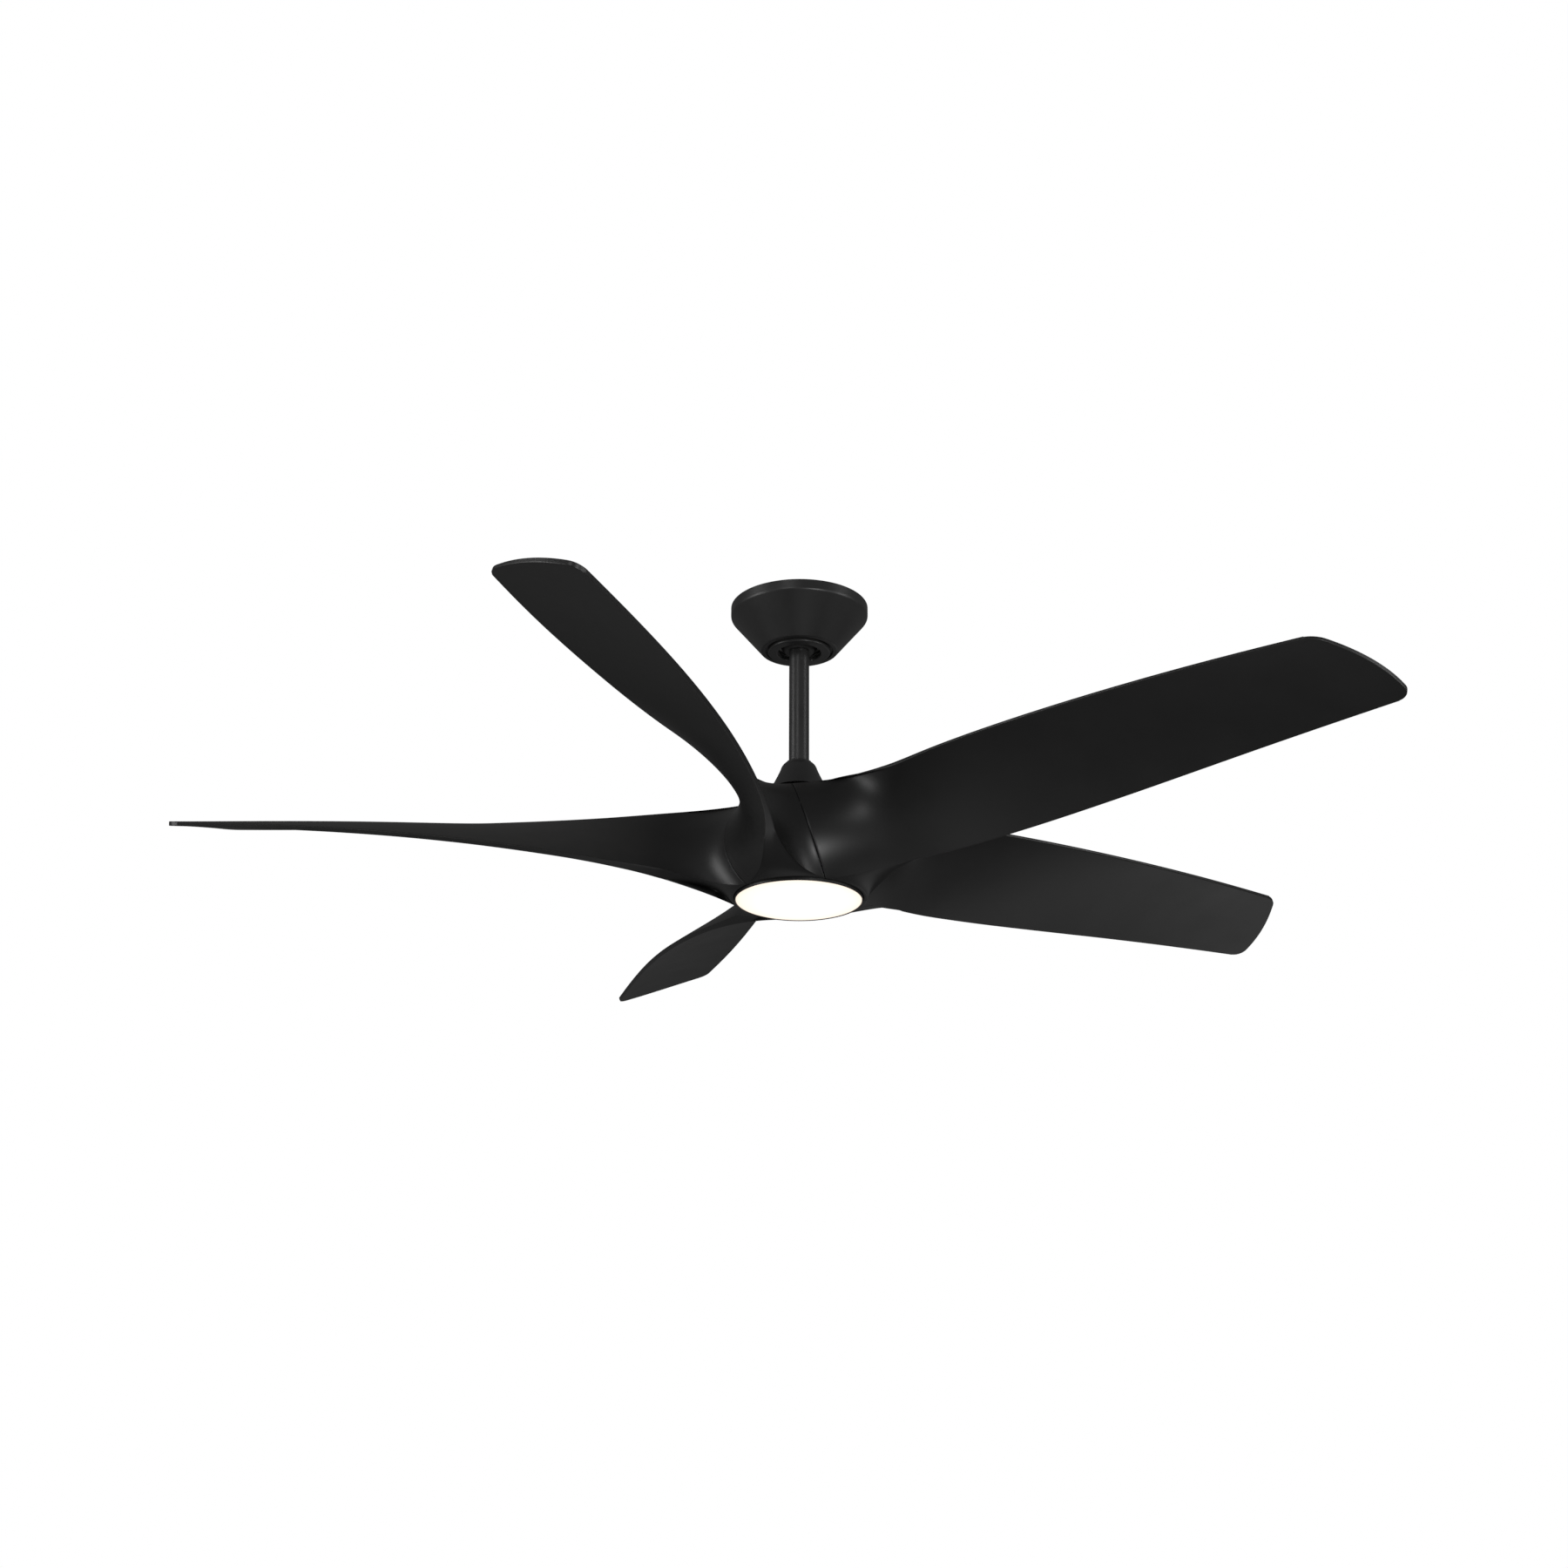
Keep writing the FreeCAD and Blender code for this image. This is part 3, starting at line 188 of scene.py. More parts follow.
def turned_piece(name, outline, material, body, node, extra=()):
    """A turned piece with its faces looking outwards, and any extra solids in the same mesh."""
    if outline_area(outline) < 0:
        outline = outline[::-1]
    points, faces = merged(*turned_mesh(outline), extra)
    new_piece(name, points, faces, material, body, node)


def strip_faces(steps):
    """The faces of a closed strip whose sections, one more than its steps, have four points each."""
    faces = [(0, 1, 2, 3), tuple(4 * steps + corner for corner in (3, 2, 1, 0))]
    for step in range(steps):
        here, there = 4 * step, 4 * (step + 1)
        for corner in range(4):
            after = (corner + 1) % 4
            faces.append((here + corner, there + corner, there + after, here + after))
    return faces


def arc_block(inner, outer, low, high, start, end, steps=10):
    """A closed solid: part of a ring between two radii, two levels and two angles in degrees."""
    points = []
    for step in range(steps + 1):
        angle = math.radians(start + (end - start) * step / steps)
        for radius, level in ((inner, low), (outer, low), (outer, high), (inner, high)):
            points.append((radius * math.cos(angle), radius * math.sin(angle), level))
    return points, strip_faces(steps)


# ---------------------------------------------------------------- shader tools

def put(tree, kind, **values):
    """Add a shader node. A value that is a socket is linked, and any other is set: by property
    where the node has one of that name, and otherwise on the input of that name."""
    made = tree.nodes.new(kind)
    for name, value in values.items():
        if hasattr(made, name) and name not in ("inputs", "outputs"):
            setattr(made, name, value)
            continue
        label = int(name[1:]) if name[0] == "i" and name[1:].isdigit() else name.replace("_", " ")
        socket = made.inputs[label]
        if isinstance(value, bpy.types.NodeSocket):
            tree.links.new(value, socket)
        else:
            socket.default_value = value
    return made


def math_node(tree, operation, first, second=0.0):
    """The result of one arithmetic step on values or sockets."""
    return put(tree, "ShaderNodeMath", operation=operation, i0=first, i1=second).outputs[0]


def ramp(tree, value, stops):
    """A colour ramp from (place, grey level or colour) stops."""
    made = put(tree, "ShaderNodeValToRGB", Fac=value)
    elements = made.color_ramp.elements
    while len(elements) < len(stops):
        elements.new(0.5)
    for element, (place, level) in zip(elements, stops):
        element.position = place
        colour = (level,) * 3 if isinstance(level, (int, float)) else level
        element.color = (*colour, 1.0)
    return made.outputs["Color"]


def mixed(tree, share, first, second):
    """A colour between two colours."""
    made = tree.nodes.new("ShaderNodeMix")
    made.data_type = "RGBA"
    for socket, value in ((made.inputs[0], share), (made.inputs[6], first), (made.inputs[7], second)):
        if isinstance(value, bpy.types.NodeSocket):
            tree.links.new(value, socket)
        elif isinstance(value, (int, float)):
            socket.default_value = value
        else:
            socket.default_value = (*value, 1.0)
    return made.outputs[2]


def new_group(name, inputs, outputs):
    """An empty shader node group with float inputs and outputs. Returns it with both ends."""
    group = bpy.data.node_groups.new(name, "ShaderNodeTree")
    for label, default in inputs.items():
        socket = group.interface.new_socket(name=label, in_out="INPUT", socket_type="NodeSocketFloat")
        socket.default_value = default
    for label in outputs:
        group.interface.new_socket(name=label, in_out="OUTPUT", socket_type="NodeSocketFloat")
    return group, group.nodes.new("NodeGroupInput"), group.nodes.new("NodeGroupOutput")


def make_fine_texture():
    """The even texture of a moulding tool or of powder coat. Height is the texture itself, and
    Mottle is a slow variation over a hand's width."""
    group, given, result = new_group("fine_texture", {"Grain": 1500.0, "Patch": 18.0},
                                     ("Height", "Mottle"))
    place = put(group, "ShaderNodeTexCoord").outputs["Object"]
    grain = put(group, "ShaderNodeTexNoise", Vector=place, Scale=given.outputs["Grain"],
                Detail=2.0, Roughness=0.5).outputs["Fac"]
    patch = put(group, "ShaderNodeTexNoise", Vector=place, Scale=given.outputs["Patch"],
                Detail=4.0, Roughness=0.55).outputs["Fac"]
    group.links.new(grain, result.inputs["Height"])
    group.links.new(patch, result.inputs["Mottle"])
    return group


def make_settled_dust():
    """A mask of the thin dust that settles on faces that look up."""
    group, given, result = new_group("settled_dust", {"Amount": 0.5}, ("Mask",))
    normal = put(group, "ShaderNodeNewGeometry").outputs["Normal"]
    up = put(group, "ShaderNodeSeparateXYZ", Vector=normal).outputs["Z"]
    facing = put(group, "ShaderNodeMapRange", Value=up, From_Min=0.55, From_Max=1.0).outputs["Result"]
    place = put(group, "ShaderNodeTexCoord").outputs["Object"]
    broken = put(group, "ShaderNodeTexNoise", Vector=place, Scale=60.0, Detail=6.0).outputs["Fac"]
    patchy = math_node(group, "MULTIPLY", facing, broken)
    group.links.new(math_node(group, "MULTIPLY", patchy, given.outputs["Amount"]),
                    result.inputs["Mask"])
    return group


def make_rubbed_edges():
    """A mask of the convex edges, where handling polishes or bares a surface."""
    group, given, result = new_group("rubbed_edges", {"Amount": 0.5}, ("Mask",))
    convex = put(group, "ShaderNodeNewGeometry").outputs["Pointiness"]
    edge = put(group, "ShaderNodeMapRange", Value=convex, From_Min=0.52, From_Max=0.62)
    place = put(group, "ShaderNodeTexCoord").outputs["Object"]
    broken = put(group, "ShaderNodeTexNoise", Vector=place, Scale=220.0, Detail=5.0).outputs["Fac"]
    chipped = math_node(group, "MULTIPLY", edge.outputs["Result"], broken)
    group.links.new(math_node(group, "MULTIPLY", chipped, given.outputs["Amount"]),
                    result.inputs["Mask"])
    return group


def make_drawn_lines():
    """Fine lines left by grinding, rolling or brushing. The stretches are how much finer the lines
    are across each axis than along it."""
    group, given, result = new_group(
        "drawn_lines", {"Across_X": 1.0, "Across_Y": 1.0, "Across_Z": 1.0, "Scale": 40.0},
        ("Height", "Streak"))
    place = put(group, "ShaderNodeTexCoord").outputs["Object"]
    stretch = put(group, "ShaderNodeCombineXYZ", X=given.outputs["Across_X"],
                  Y=given.outputs["Across_Y"], Z=given.outputs["Across_Z"]).outputs["Vector"]
    pulled = put(group, "ShaderNodeVectorMath", operation="MULTIPLY", i0=place, i1=stretch)
    fine = put(group, "ShaderNodeTexNoise", Vector=pulled.outputs["Vector"],
               Scale=given.outputs["Scale"], Detail=6.0, Roughness=0.65).outputs["Fac"]
    broad = put(group, "ShaderNodeTexNoise", Vector=place, Scale=30.0, Detail=3.0).outputs["Fac"]
    group.links.new(fine, result.inputs["Height"])
    group.links.new(math_node(group, "MULTIPLY", fine, broad), result.inputs["Streak"])
    return group


def make_stacked_bands():
    """Bands square to the fan's axis, for stamped sheets in a stack or turns of wire."""
    group, given, result = new_group("stacked_bands", {"Pitch": 0.001, "Waver": 0.1}, ("Height",))
    place = put(group, "ShaderNodeTexCoord").outputs["Object"]
    level = put(group, "ShaderNodeSeparateXYZ", Vector=place).outputs["Z"]
    waver = put(group, "ShaderNodeTexNoise", Vector=place, Scale=90.0, Detail=2.0).outputs["Fac"]
    shifted = math_node(group, "ADD", math_node(group, "DIVIDE", level, given.outputs["Pitch"]),
                        math_node(group, "MULTIPLY", waver, given.outputs["Waver"]))
    turn = math_node(group, "MULTIPLY", shifted, 2.0 * math.pi)
    group.links.new(math_node(group, "ABSOLUTE", math_node(group, "SINE", turn)),
                    result.inputs["Height"])
    return group


def make_cast_skin():
    """The uneven skin of a die casting or a sintered block."""
    group, given, result = new_group("cast_skin", {"Scale": 300.0}, ("Height", "Mottle"))
    place = put(group, "ShaderNodeTexCoord").outputs["Object"]
    cells = put(group, "ShaderNodeTexVoronoi", Vector=place, Scale=given.outputs["Scale"])
    cloud = put(group, "ShaderNodeTexNoise", Vector=place, Scale=45.0, Detail=7.0, Roughness=0.6)
    together = math_node(group, "ADD", cells.outputs["Distance"], cloud.outputs["Fac"])
    group.links.new(together, result.inputs["Height"])
    group.links.new(cloud.outputs["Fac"], result.inputs["Mottle"])
    return group


FINE_TEXTURE = make_fine_texture()
SETTLED_DUST = make_settled_dust()
RUBBED_EDGES = make_rubbed_edges()
DRAWN_LINES = make_drawn_lines()
STACKED_BANDS = make_stacked_bands()
CAST_SKIN = make_cast_skin()


def use(tree, group, **values):
    """Place a shader group with its own values."""
    made = tree.nodes.new("ShaderNodeGroup")
    made.node_tree = group
    for name, value in values.items():
        made.inputs[name].default_value = value
    return made


def new_material(name):
    """An empty material with its tree and its Principled shader."""
    material = bpy.data.materials.new(name)
    material.use_nodes = True
    tree = material.node_tree
    return material, tree, tree.nodes["Principled BSDF"]


def wire_up(tree, shader, colour=None, roughness=None, height=None, depth=0.00002, emission=None):
    """Link what varies over the surface to the shader, with the height through a bump."""
    for label, source in (("Base Color", colour), ("Roughness", roughness),
                          ("Emission Color", emission)):
        if source is not None:
            tree.links.new(source, shader.inputs[label])
    if height is not None:
        bump = put(tree, "ShaderNodeBump", Distance=depth, Strength=1.0, Height=height)
        tree.links.new(bump.outputs["Normal"], shader.inputs["Normal"])


def satin_black(name, low, high, smooth, rough, grain, depth=0.00001, dust=0.35):
    """A near-black satin surface: fine texture, slow mottling, polished edges, dust on top."""
    material, tree, shader = new_material(name)
    skin = use(tree, FINE_TEXTURE, Grain=grain, Patch=16.0)
    body = ramp(tree, skin.outputs["Mottle"], [(0.3, low), (0.7, high)])
    edges = use(tree, RUBBED_EDGES, Amount=0.5).outputs["Mask"]
    worn = mixed(tree, edges, body, (0.035, 0.035, 0.036))
    settled = use(tree, SETTLED_DUST, Amount=dust).outputs["Mask"]
    dusty = mixed(tree, settled, worn, (0.11, 0.105, 0.1))
    gloss = ramp(tree, skin.outputs["Mottle"], [(0.3, smooth), (0.7, rough)])
    duller = mixed(tree, settled, gloss, (0.8, 0.8, 0.8))
    wire_up(tree, shader, dusty, duller, skin.outputs["Height"], depth)
    return material


def bare_metal(name, low, high, smooth, rough, lines, depth=0.00001):
    """A metal surface with drawn lines. Lines are the stretches and scale of the lines."""
    material, tree, shader = new_material(name)
    drawn = use(tree, DRAWN_LINES, **lines)
    colour = ramp(tree, drawn.outputs["Height"], [(0.3, low), (0.7, high)])
    gloss = ramp(tree, drawn.outputs["Streak"], [(0.1, smooth), (0.45, rough)])
    shader.inputs["Metallic"].default_value = 1.0
    wire_up(tree, shader, colour, gloss, drawn.outputs["Height"], depth)
    return material


def moulded(name, low, high, roughness, grain=1200.0, depth=0.00002):
    """A plain moulded or coated surface in one colour with fine texture."""
    material, tree, shader = new_material(name)
    skin = use(tree, FINE_TEXTURE, Grain=grain, Patch=35.0)
    colour = ramp(tree, skin.outputs["Mottle"], [(0.3, low), (0.7, high)])
    gloss = ramp(tree, skin.outputs["Mottle"], [(0.3, roughness - 0.06), (0.7, roughness + 0.06)])
    wire_up(tree, shader, colour, gloss, skin.outputs["Height"], depth)
    return material


def cast_metal(name, low, high, roughness, scale, metallic=1.0, depth=0.00006):
    """A die casting or a sintered block, with an uneven grainy skin."""
    material, tree, shader = new_material(name)
    skin = use(tree, CAST_SKIN, Scale=scale)
    colour = ramp(tree, skin.outputs["Mottle"], [(0.3, low), (0.7, high)])
    gloss = ramp(tree, skin.outputs["Mottle"], [(0.3, roughness - 0.08), (0.7, roughness + 0.08)])
    shader.inputs["Metallic"].default_value = metallic
    wire_up(tree, shader, colour, gloss, skin.outputs["Height"], depth)
    return material


def banded_metal(name, low, high, roughness, pitch, waver, depth=0.0001):
    """Metal in even bands: stamped sheets in a stack, or turns of wire."""
    material, tree, shader = new_material(name)
    bands = use(tree, STACKED_BANDS, Pitch=pitch, Waver=waver)
    colour = ramp(tree, bands.outputs["Height"], [(0.0, low), (0.6, high)])
    gloss = ramp(tree, bands.outputs["Height"], [(0.0, roughness + 0.2), (0.6, roughness)])
    shader.inputs["Metallic"].default_value = 1.0
    wire_up(tree, shader, colour, gloss, bands.outputs["Height"], depth)
    return material


def lit_opal():
    """The lit lens: warm white in the middle, a little pinker towards the rim, with the slight
    clouding of an opal moulding."""
    material, tree, shader = new_material("lit_opal")
    place = put(tree, "ShaderNodeTexCoord").outputs["Object"]
    flat = put(tree, "ShaderNodeVectorMath", operation="MULTIPLY", i0=place, i1=(1.0, 1.0, 0.0))
    away = put(tree, "ShaderNodeVectorMath", operation="LENGTH", i0=flat.outputs["Vector"])
    share = math_node(tree, "DIVIDE", away.outputs["Value"], radius_of("lens"))
    skin = use(tree, FINE_TEXTURE, Grain=900.0, Patch=40.0)
    clouded = math_node(tree, "MULTIPLY", skin.outputs["Mottle"], 0.04)
    glow = ramp(tree, math_node(tree, "ADD", share, clouded),
                [(0.0, (1.0, 0.98, 0.90)), (0.6, (1.0, 0.96, 0.87)), (0.92, (1.0, 0.88, 0.76)),
                 (1.0, (0.93, 0.80, 0.67))])
    body = ramp(tree, skin.outputs["Mottle"], [(0.3, (0.86, 0.83, 0.77)), (0.7, (0.92, 0.89, 0.83))])
    gloss = ramp(tree, skin.outputs["Mottle"], [(0.3, 0.42), (0.7, 0.52)])
    shader.inputs["Emission Strength"].default_value = 0.98
    shader.inputs["Specular IOR Level"].default_value = 0.2
    wire_up(tree, shader, body, gloss, skin.outputs["Height"], 0.00001, emission=glow)
    return material


UPRIGHT_LINES = {"Across_X": 60.0, "Across_Y": 60.0, "Across_Z": 1.0, "Scale": 14.0}
LEVEL_LINES = {"Across_X": 1.0, "Across_Y": 60.0, "Across_Z": 60.0, "Scale": 14.0}
ROUND_LINES = {"Across_X": 1.0, "Across_Y": 1.0, "Across_Z": 80.0, "Scale": 18.0}

# Each finish: what makes it, and that function's values after the name.
RECIPES = {
    "blade_plastic": (satin_black, 0.0095, 0.0125, 0.37, 0.43, 1700.0),
    "satin_black_metal": (satin_black, 0.02, 0.025, 0.34, 0.42, 1300.0),
    "satin_black_plastic": (satin_black, 0.01, 0.013, 0.36, 0.44, 1500.0),
    "black_screw_steel": (satin_black, 0.016, 0.026, 0.3, 0.42, 2400.0),
    "ball_nylon": (moulded, 0.011, 0.016, 0.42, 1000.0),
    "receiver_plastic": (moulded, 0.024, 0.034, 0.52, 900.0),
    "cage_nylon": (moulded, (0.66, 0.61, 0.46), (0.76, 0.71, 0.56), 0.5),
    "lead_insulation": (moulded, 0.04, 0.06, 0.45, 700.0),
    "circuit_board": (moulded, (0.014, 0.15, 0.045), (0.024, 0.2, 0.07), 0.35, 800.0),
    "led_board_white": (moulded, (0.82, 0.82, 0.79), (0.9, 0.9, 0.88), 0.4, 800.0),
    "led_phosphor": (moulded, (0.9, 0.72, 0.22), (0.96, 0.82, 0.34), 0.5, 2500.0),
    "green_screw": (moulded, (0.035, 0.25, 0.08), (0.06, 0.33, 0.12), 0.35, 1500.0),
    "zinc_plated_steel": (bare_metal, (0.5, 0.51, 0.5), (0.68, 0.69, 0.67), 0.24, 0.42,
                          LEVEL_LINES),
    "shaft_steel": (bare_metal, 0.42, 0.58, 0.18, 0.34, ROUND_LINES),
    "bearing_steel": (bare_metal, 0.68, 0.78, 0.08, 0.18, ROUND_LINES, 0.000004),
    "pan_aluminium": (bare_metal, 0.62, 0.76, 0.28, 0.44, UPRIGHT_LINES),
    "cast_aluminium": (cast_metal, 0.48, 0.64, 0.46, 350.0),
    "magnet_ferrite": (cast_metal, 0.06, 0.1, 0.62, 700.0, 0.2),
    "lamination_steel": (banded_metal, 0.12, 0.3, 0.4, 0.0005, 0.05),
    "copper_winding": (banded_metal, (0.42, 0.16, 0.05), (0.75, 0.34, 0.13), 0.28, 0.0009, 0.4),
}
FINISHES = {name: make(name, *values) for name, (make, *values) in RECIPES.items()}
FINISHES["opal_lens"] = lit_opal()


def dress_frame():
    """Give every CAD node the finish of its slot. All of a node's own slots get the same one."""
    slots = {}
    for part in frame["record"]["subparts"]:
        slots[part["node"]] = part["material_slot"]
    for name, shown in frame["nodes"].items():
        if not shown.data.materials:
            shown.data.materials.append(FINISHES[slots[name]])
        for index in range(len(shown.data.materials)):
            shown.data.materials[index] = FINISHES[slots[name]]


# ---------------------------------------------------------------- canopy, rod and cover

def make_canopy():
    """A spun shell: an upright band with a rolled edge, a straight cone and a recessed foot."""
    wide, high, low = radius_of("canopy"), top_of("canopy"), bottom_of("canopy")
    band, foot, recess, hole = 0.012, 0.0485, 0.043, 0.0298
    wall, depth = 0.0015, 0.0025
    outline = rounded_outline([
        (wide, high, 0.0010), (wide, high - band - 0.0012, 0.0052),
        (foot, low, 0.0036), (recess, low, 0.0006), (recess, low + depth, 0.0003),
        (hole, low + depth), (hole, low + depth + wall),
        (foot - 0.0012, low + depth + wall, 0.002), (wide - wall, high - band - 0.0006, 0.004),
        (wide - wall, high, 0.0004),
    ], steps=8)
    turned_piece("canopy_shell", outline, FINISHES["satin_black_metal"], "ceiling_mount",
                 "canopy")


def make_canopy_ring():
    """The trim ring that covers the screws in the canopy's foot."""
    wide, low, high = radius_of("canopy_ring"), bottom_of("canopy_ring"), top_of("canopy_ring")
    hole, wall = 0.0275, 0.0014
    seat = bottom_of("canopy") + 0.0025
    outline = rounded_outline([
        (hole, high, 0.0002), (hole, low, 0.0013), (wide, low, 0.0019), (wide, seat, 0.0002),
        (wide - wall, seat, 0.0002), (wide - wall, low + wall, 0.0008),
        (hole + wall, low + wall, 0.0006), (hole + wall, high, 0.0002),
    ], support=0.0002)
    turned_piece("canopy_trim_ring", outline, FINISHES["satin_black_metal"], "ceiling_mount",
                 "canopy_ring")


def make_downrod():
    """The painted rod, with the small roll that a tube cutter leaves at its ends."""
    wide, bore = radius_of("downrod"), 0.0103
    outline = rounded_outline([
        (bore, bottom_of("downrod"), 0.0004), (wide, bottom_of("downrod"), 0.0006),
        (wide, top_of("downrod"), 0.0006), (bore, top_of("downrod"), 0.0004),
    ])
    turned_piece("painted_downrod", outline, FINISHES["satin_black_metal"], "hanging_core",
                 "downrod")


def make_coupling_cover():
    """The bell over the coupling: a small lip, a domed shoulder and a hollow flare."""
    high, low, wide = top_of("coupling_cover"), bottom_of("coupling_cover"), radius_of("coupling_cover")
    bore, lip, waist, wall = 0.0130, 0.0158, 0.0230, 0.0016
    lip_level, waist_level = high - 0.0014, high - 0.0110
    dome_bulge, flare_bulge = 0.0013, -0.0006
    outline = rounded_outline([(bore, high, 0.0003), (lip, high, 0.0009), (lip, lip_level)],
                              closed=False, support=0.0003)
    outline += swept_curve((lip, lip_level), (waist, waist_level), dome_bulge)
    outline += swept_curve((waist, waist_level), (wide, low), flare_bulge)
    outline += [Vector((wide, low)), Vector((wide - wall, low))]
    outline += swept_curve((wide - wall, low), (waist - wall, waist_level), -flare_bulge)
    outline += swept_curve((waist - wall, waist_level), (lip - 0.0004, lip_level - wall), -dome_bulge)
    outline.append(Vector((bore, lip_level - wall)))
    turned_piece("bell_cover", outline, FINISHES["satin_black_metal"], "hanging_core",
                 "coupling_cover")


# ---------------------------------------------------------------- light

def make_lens_ring():
    """The bezel round the lens, rolled at its lower edge."""
    wide, high, low = radius_of("lens_ring"), top_of("lens_ring"), bottom_of("lens_ring")
    wall, ledge, tight = 0.0014, 0.0744, 0.0723
    rim = low + 0.0038
    shelf = high - 0.0013
    outline = rounded_outline([
        (wide, high, 0.0004), (wide, low, 0.0006), (wide - wall, low, 0.0005),
        (wide - wall, rim, 0.0002), (tight, rim, 0.0002), (tight, shelf, 0.0002),
        (ledge, shelf, 0.0002), (ledge, high, 0.0002),
    ], support=0.0002)
    turned_piece("lens_bezel", outline, FINISHES["satin_black_plastic"], "hanging_core",
                 "lens_ring")


def make_lens():
    """A shallow opal dome with a rounded rim, an upright skirt and three twist-lock lugs."""
    low, high = bottom_of("lens"), top_of("lens")
    skirt, wall, lug = 0.072, 0.002, 0.074
    rim_level = low + LENS_DROP
    wide = 0.0774
    dome = (wide * wide + LENS_DROP * LENS_DROP) / (2.0 * LENS_DROP)
    steps = 40
    outline = []
    for step in range(steps + 1):
        radius = (wide - 0.0012) * step / steps
        outline.append(Vector((radius, low + dome - math.sqrt(dome * dome - radius * radius))))
    outline += rounded_outline([
        (wide, rim_level - 0.0002, 0.0007), (wide, rim_level + 0.0024, 0.0004),
        (skirt, rim_level + 0.0024, 0.0003), (skirt, high, 0.0003),
        (skirt - wall, high, 0.0003), (skirt - wall, rim_level + 0.0014, 0.0006),
    ], support=0.0003)
    inner = skirt - wall - 0.0008
    for step in range(steps + 1):
        radius = inner * (1.0 - step / steps)
        outline.append(Vector((radius, low + wall + dome - math.sqrt(dome * dome - radius * radius))))
    lugs = [arc_block(skirt - wall / 2, lug, high - 0.002, high, turn + 2.0, turn + 12.0)
            for turn in (0.0, 120.0, 240.0)]
    turned_piece("opal_dome", outline, FINISHES["opal_lens"], "lens_body", "lens", lugs)


# ---------------------------------------------------------------- blades

# Stations outboard of the root, in millimetres: radius, chord, pitch in degrees, sideways place of
# the chord's middle, height of the leading edge above the lens, camber, and thickness at the
# trailing edge, middle and leading edge.
BLADE_STATIONS = [
    (112.0, 121.0, 69.5, -16.0, 129.5, 0.0, 36.0, 36.0, 15.0),
    (140.0, 117.5, 65.5, -16.0, 129.0, 0.0, 23.0, 22.0, 11.0),
    (178.0, 120.5, 56.0, -14.5, 128.5, 0.0, 14.0, 13.0, 8.0),
    (220.0, 129.0, 47.0, -14.5, 128.5, 0.5, 9.0, 9.6, 6.2),
    (320.0, 145.0, 34.2, -17.5, 128.5, 2.5, 6.2, 7.5, 5.0),
    (460.0, 153.5, 25.2, -24.0, 128.5, 6.0, 6.0, 7.0, 4.5),
    (625.0, 146.5, 19.9, -33.5, 127.5, 5.5, 6.0, 6.5, 4.5),
    (800.0, 126.0, 17.6, -41.0, 126.0, 1.5, 5.5, 5.5, 4.5),
]
ROOT_END = 176.0
# The tip's outline: how far out it is at the trailing edge, the middle and the leading edge.
TIP_REACH = (786.8, 771.5, 732.0)
TIP_CORNERS = (14.5, 11.0)
EDGE_ROUNDING = 0.9
CHORD_STEPS, THICKNESS_STEPS = 44, 12
SPAN_STEPS, ROOT_STEPS, TIP_STEPS = 110, 44, 4
# How much the rows along the blade crowd towards its tip.
SPAN_CROWDING = 0.12

# The hub is an arc turned about the axis, in millimetres from the ceiling.
HUB_ARC_OFFSET, HUB_ARC_LEVEL = 11.5, -341.0
HUB_OUTER, HUB_INNER = 89.0, 86.0
HUB_TOP, HUB_BOTTOM = -256.0, -393.0
SEAM_PIVOT, SEAM_ANGLE, SEAM_TILT, SEAM_HALF_GAP = -278.0, -58.6, 17.7, 0.4
# How strongly the root's skin keeps to the blade's direction, to the hub's, and to the hub's at
# its top rim, and how far down the skin points where it leaves a corner of its share.
LEAVING_PULL, ARRIVING_PULL, TOP_RIM_PULL = 0.8, 1.0, 0.5
CORNER_DROP = 0.12
# The edges of a share of the hub: the lip's rows from the inside out, each a radius and how far it
# is drawn in, and how far in the outer skin ends.
LIP_ROWS = ((HUB_INNER, 0.3), (HUB_INNER + 0.3, 0.0), (HUB_OUTER - 0.4, 0.0),
            (HUB_OUTER - 0.1, 0.15))
SKIN_INSET = 0.35
LENS_LEVEL = (bottom_of("lens") + LENS_DROP) / MM


def smooth_through(places, values):
    """A natural cubic curve through values at rising places, as a function of the place."""
    places, values = np.asarray(places, float), np.asarray(values, float)
    count = len(places)
    gaps = np.diff(places)
    slopes = np.diff(values, axis=0) / gaps[:, None]
    system = np.eye(count)
    sides = np.zeros_like(values)
    for row in range(1, count - 1):
        system[row, row - 1:row + 2] = gaps[row - 1], 2 * (gaps[row - 1] + gaps[row]), gaps[row]
        sides[row] = 6 * (slopes[row] - slopes[row - 1])
    bends = np.linalg.solve(system, sides)

    def at(place):
        part = int(np.clip(np.searchsorted(places, place) - 1, 0, count - 2))
        gap = gaps[part]
        left, right = (places[part + 1] - place) / gap, (place - places[part]) / gap
        return (left * values[part] + right * values[part + 1]
                + gap * gap / 6 * ((left ** 3 - left) * bends[part]
                                   + (right ** 3 - right) * bends[part + 1]))
    return at


STATION_AT = smooth_through([station[0] for station in BLADE_STATIONS],
                            [station[1:] for station in BLADE_STATIONS])


def eased(count):
    """Shares from 0 to 1 that crowd towards both ends."""
    return [0.5 - 0.5 * math.cos(math.pi * step / count) for step in range(count + 1)]


def loop_layout():
    """The points round a blade section in order: (side, share along that side). The sides are the
    trailing edge from topside to underside, the underside forwards, the leading edge and the
    topside backwards."""
    layout = []
    for side, shares in (("trailing", [step / THICKNESS_STEPS for step in range(THICKNESS_STEPS)]),
                         ("under", eased(CHORD_STEPS)[:-1]),
                         ("leading", [step / THICKNESS_STEPS for step in range(THICKNESS_STEPS)]),
                         ("over", eased(CHORD_STEPS)[:-1])):
        layout += [(side, share) for share in shares]
    return layout


LAYOUT = loop_layout()


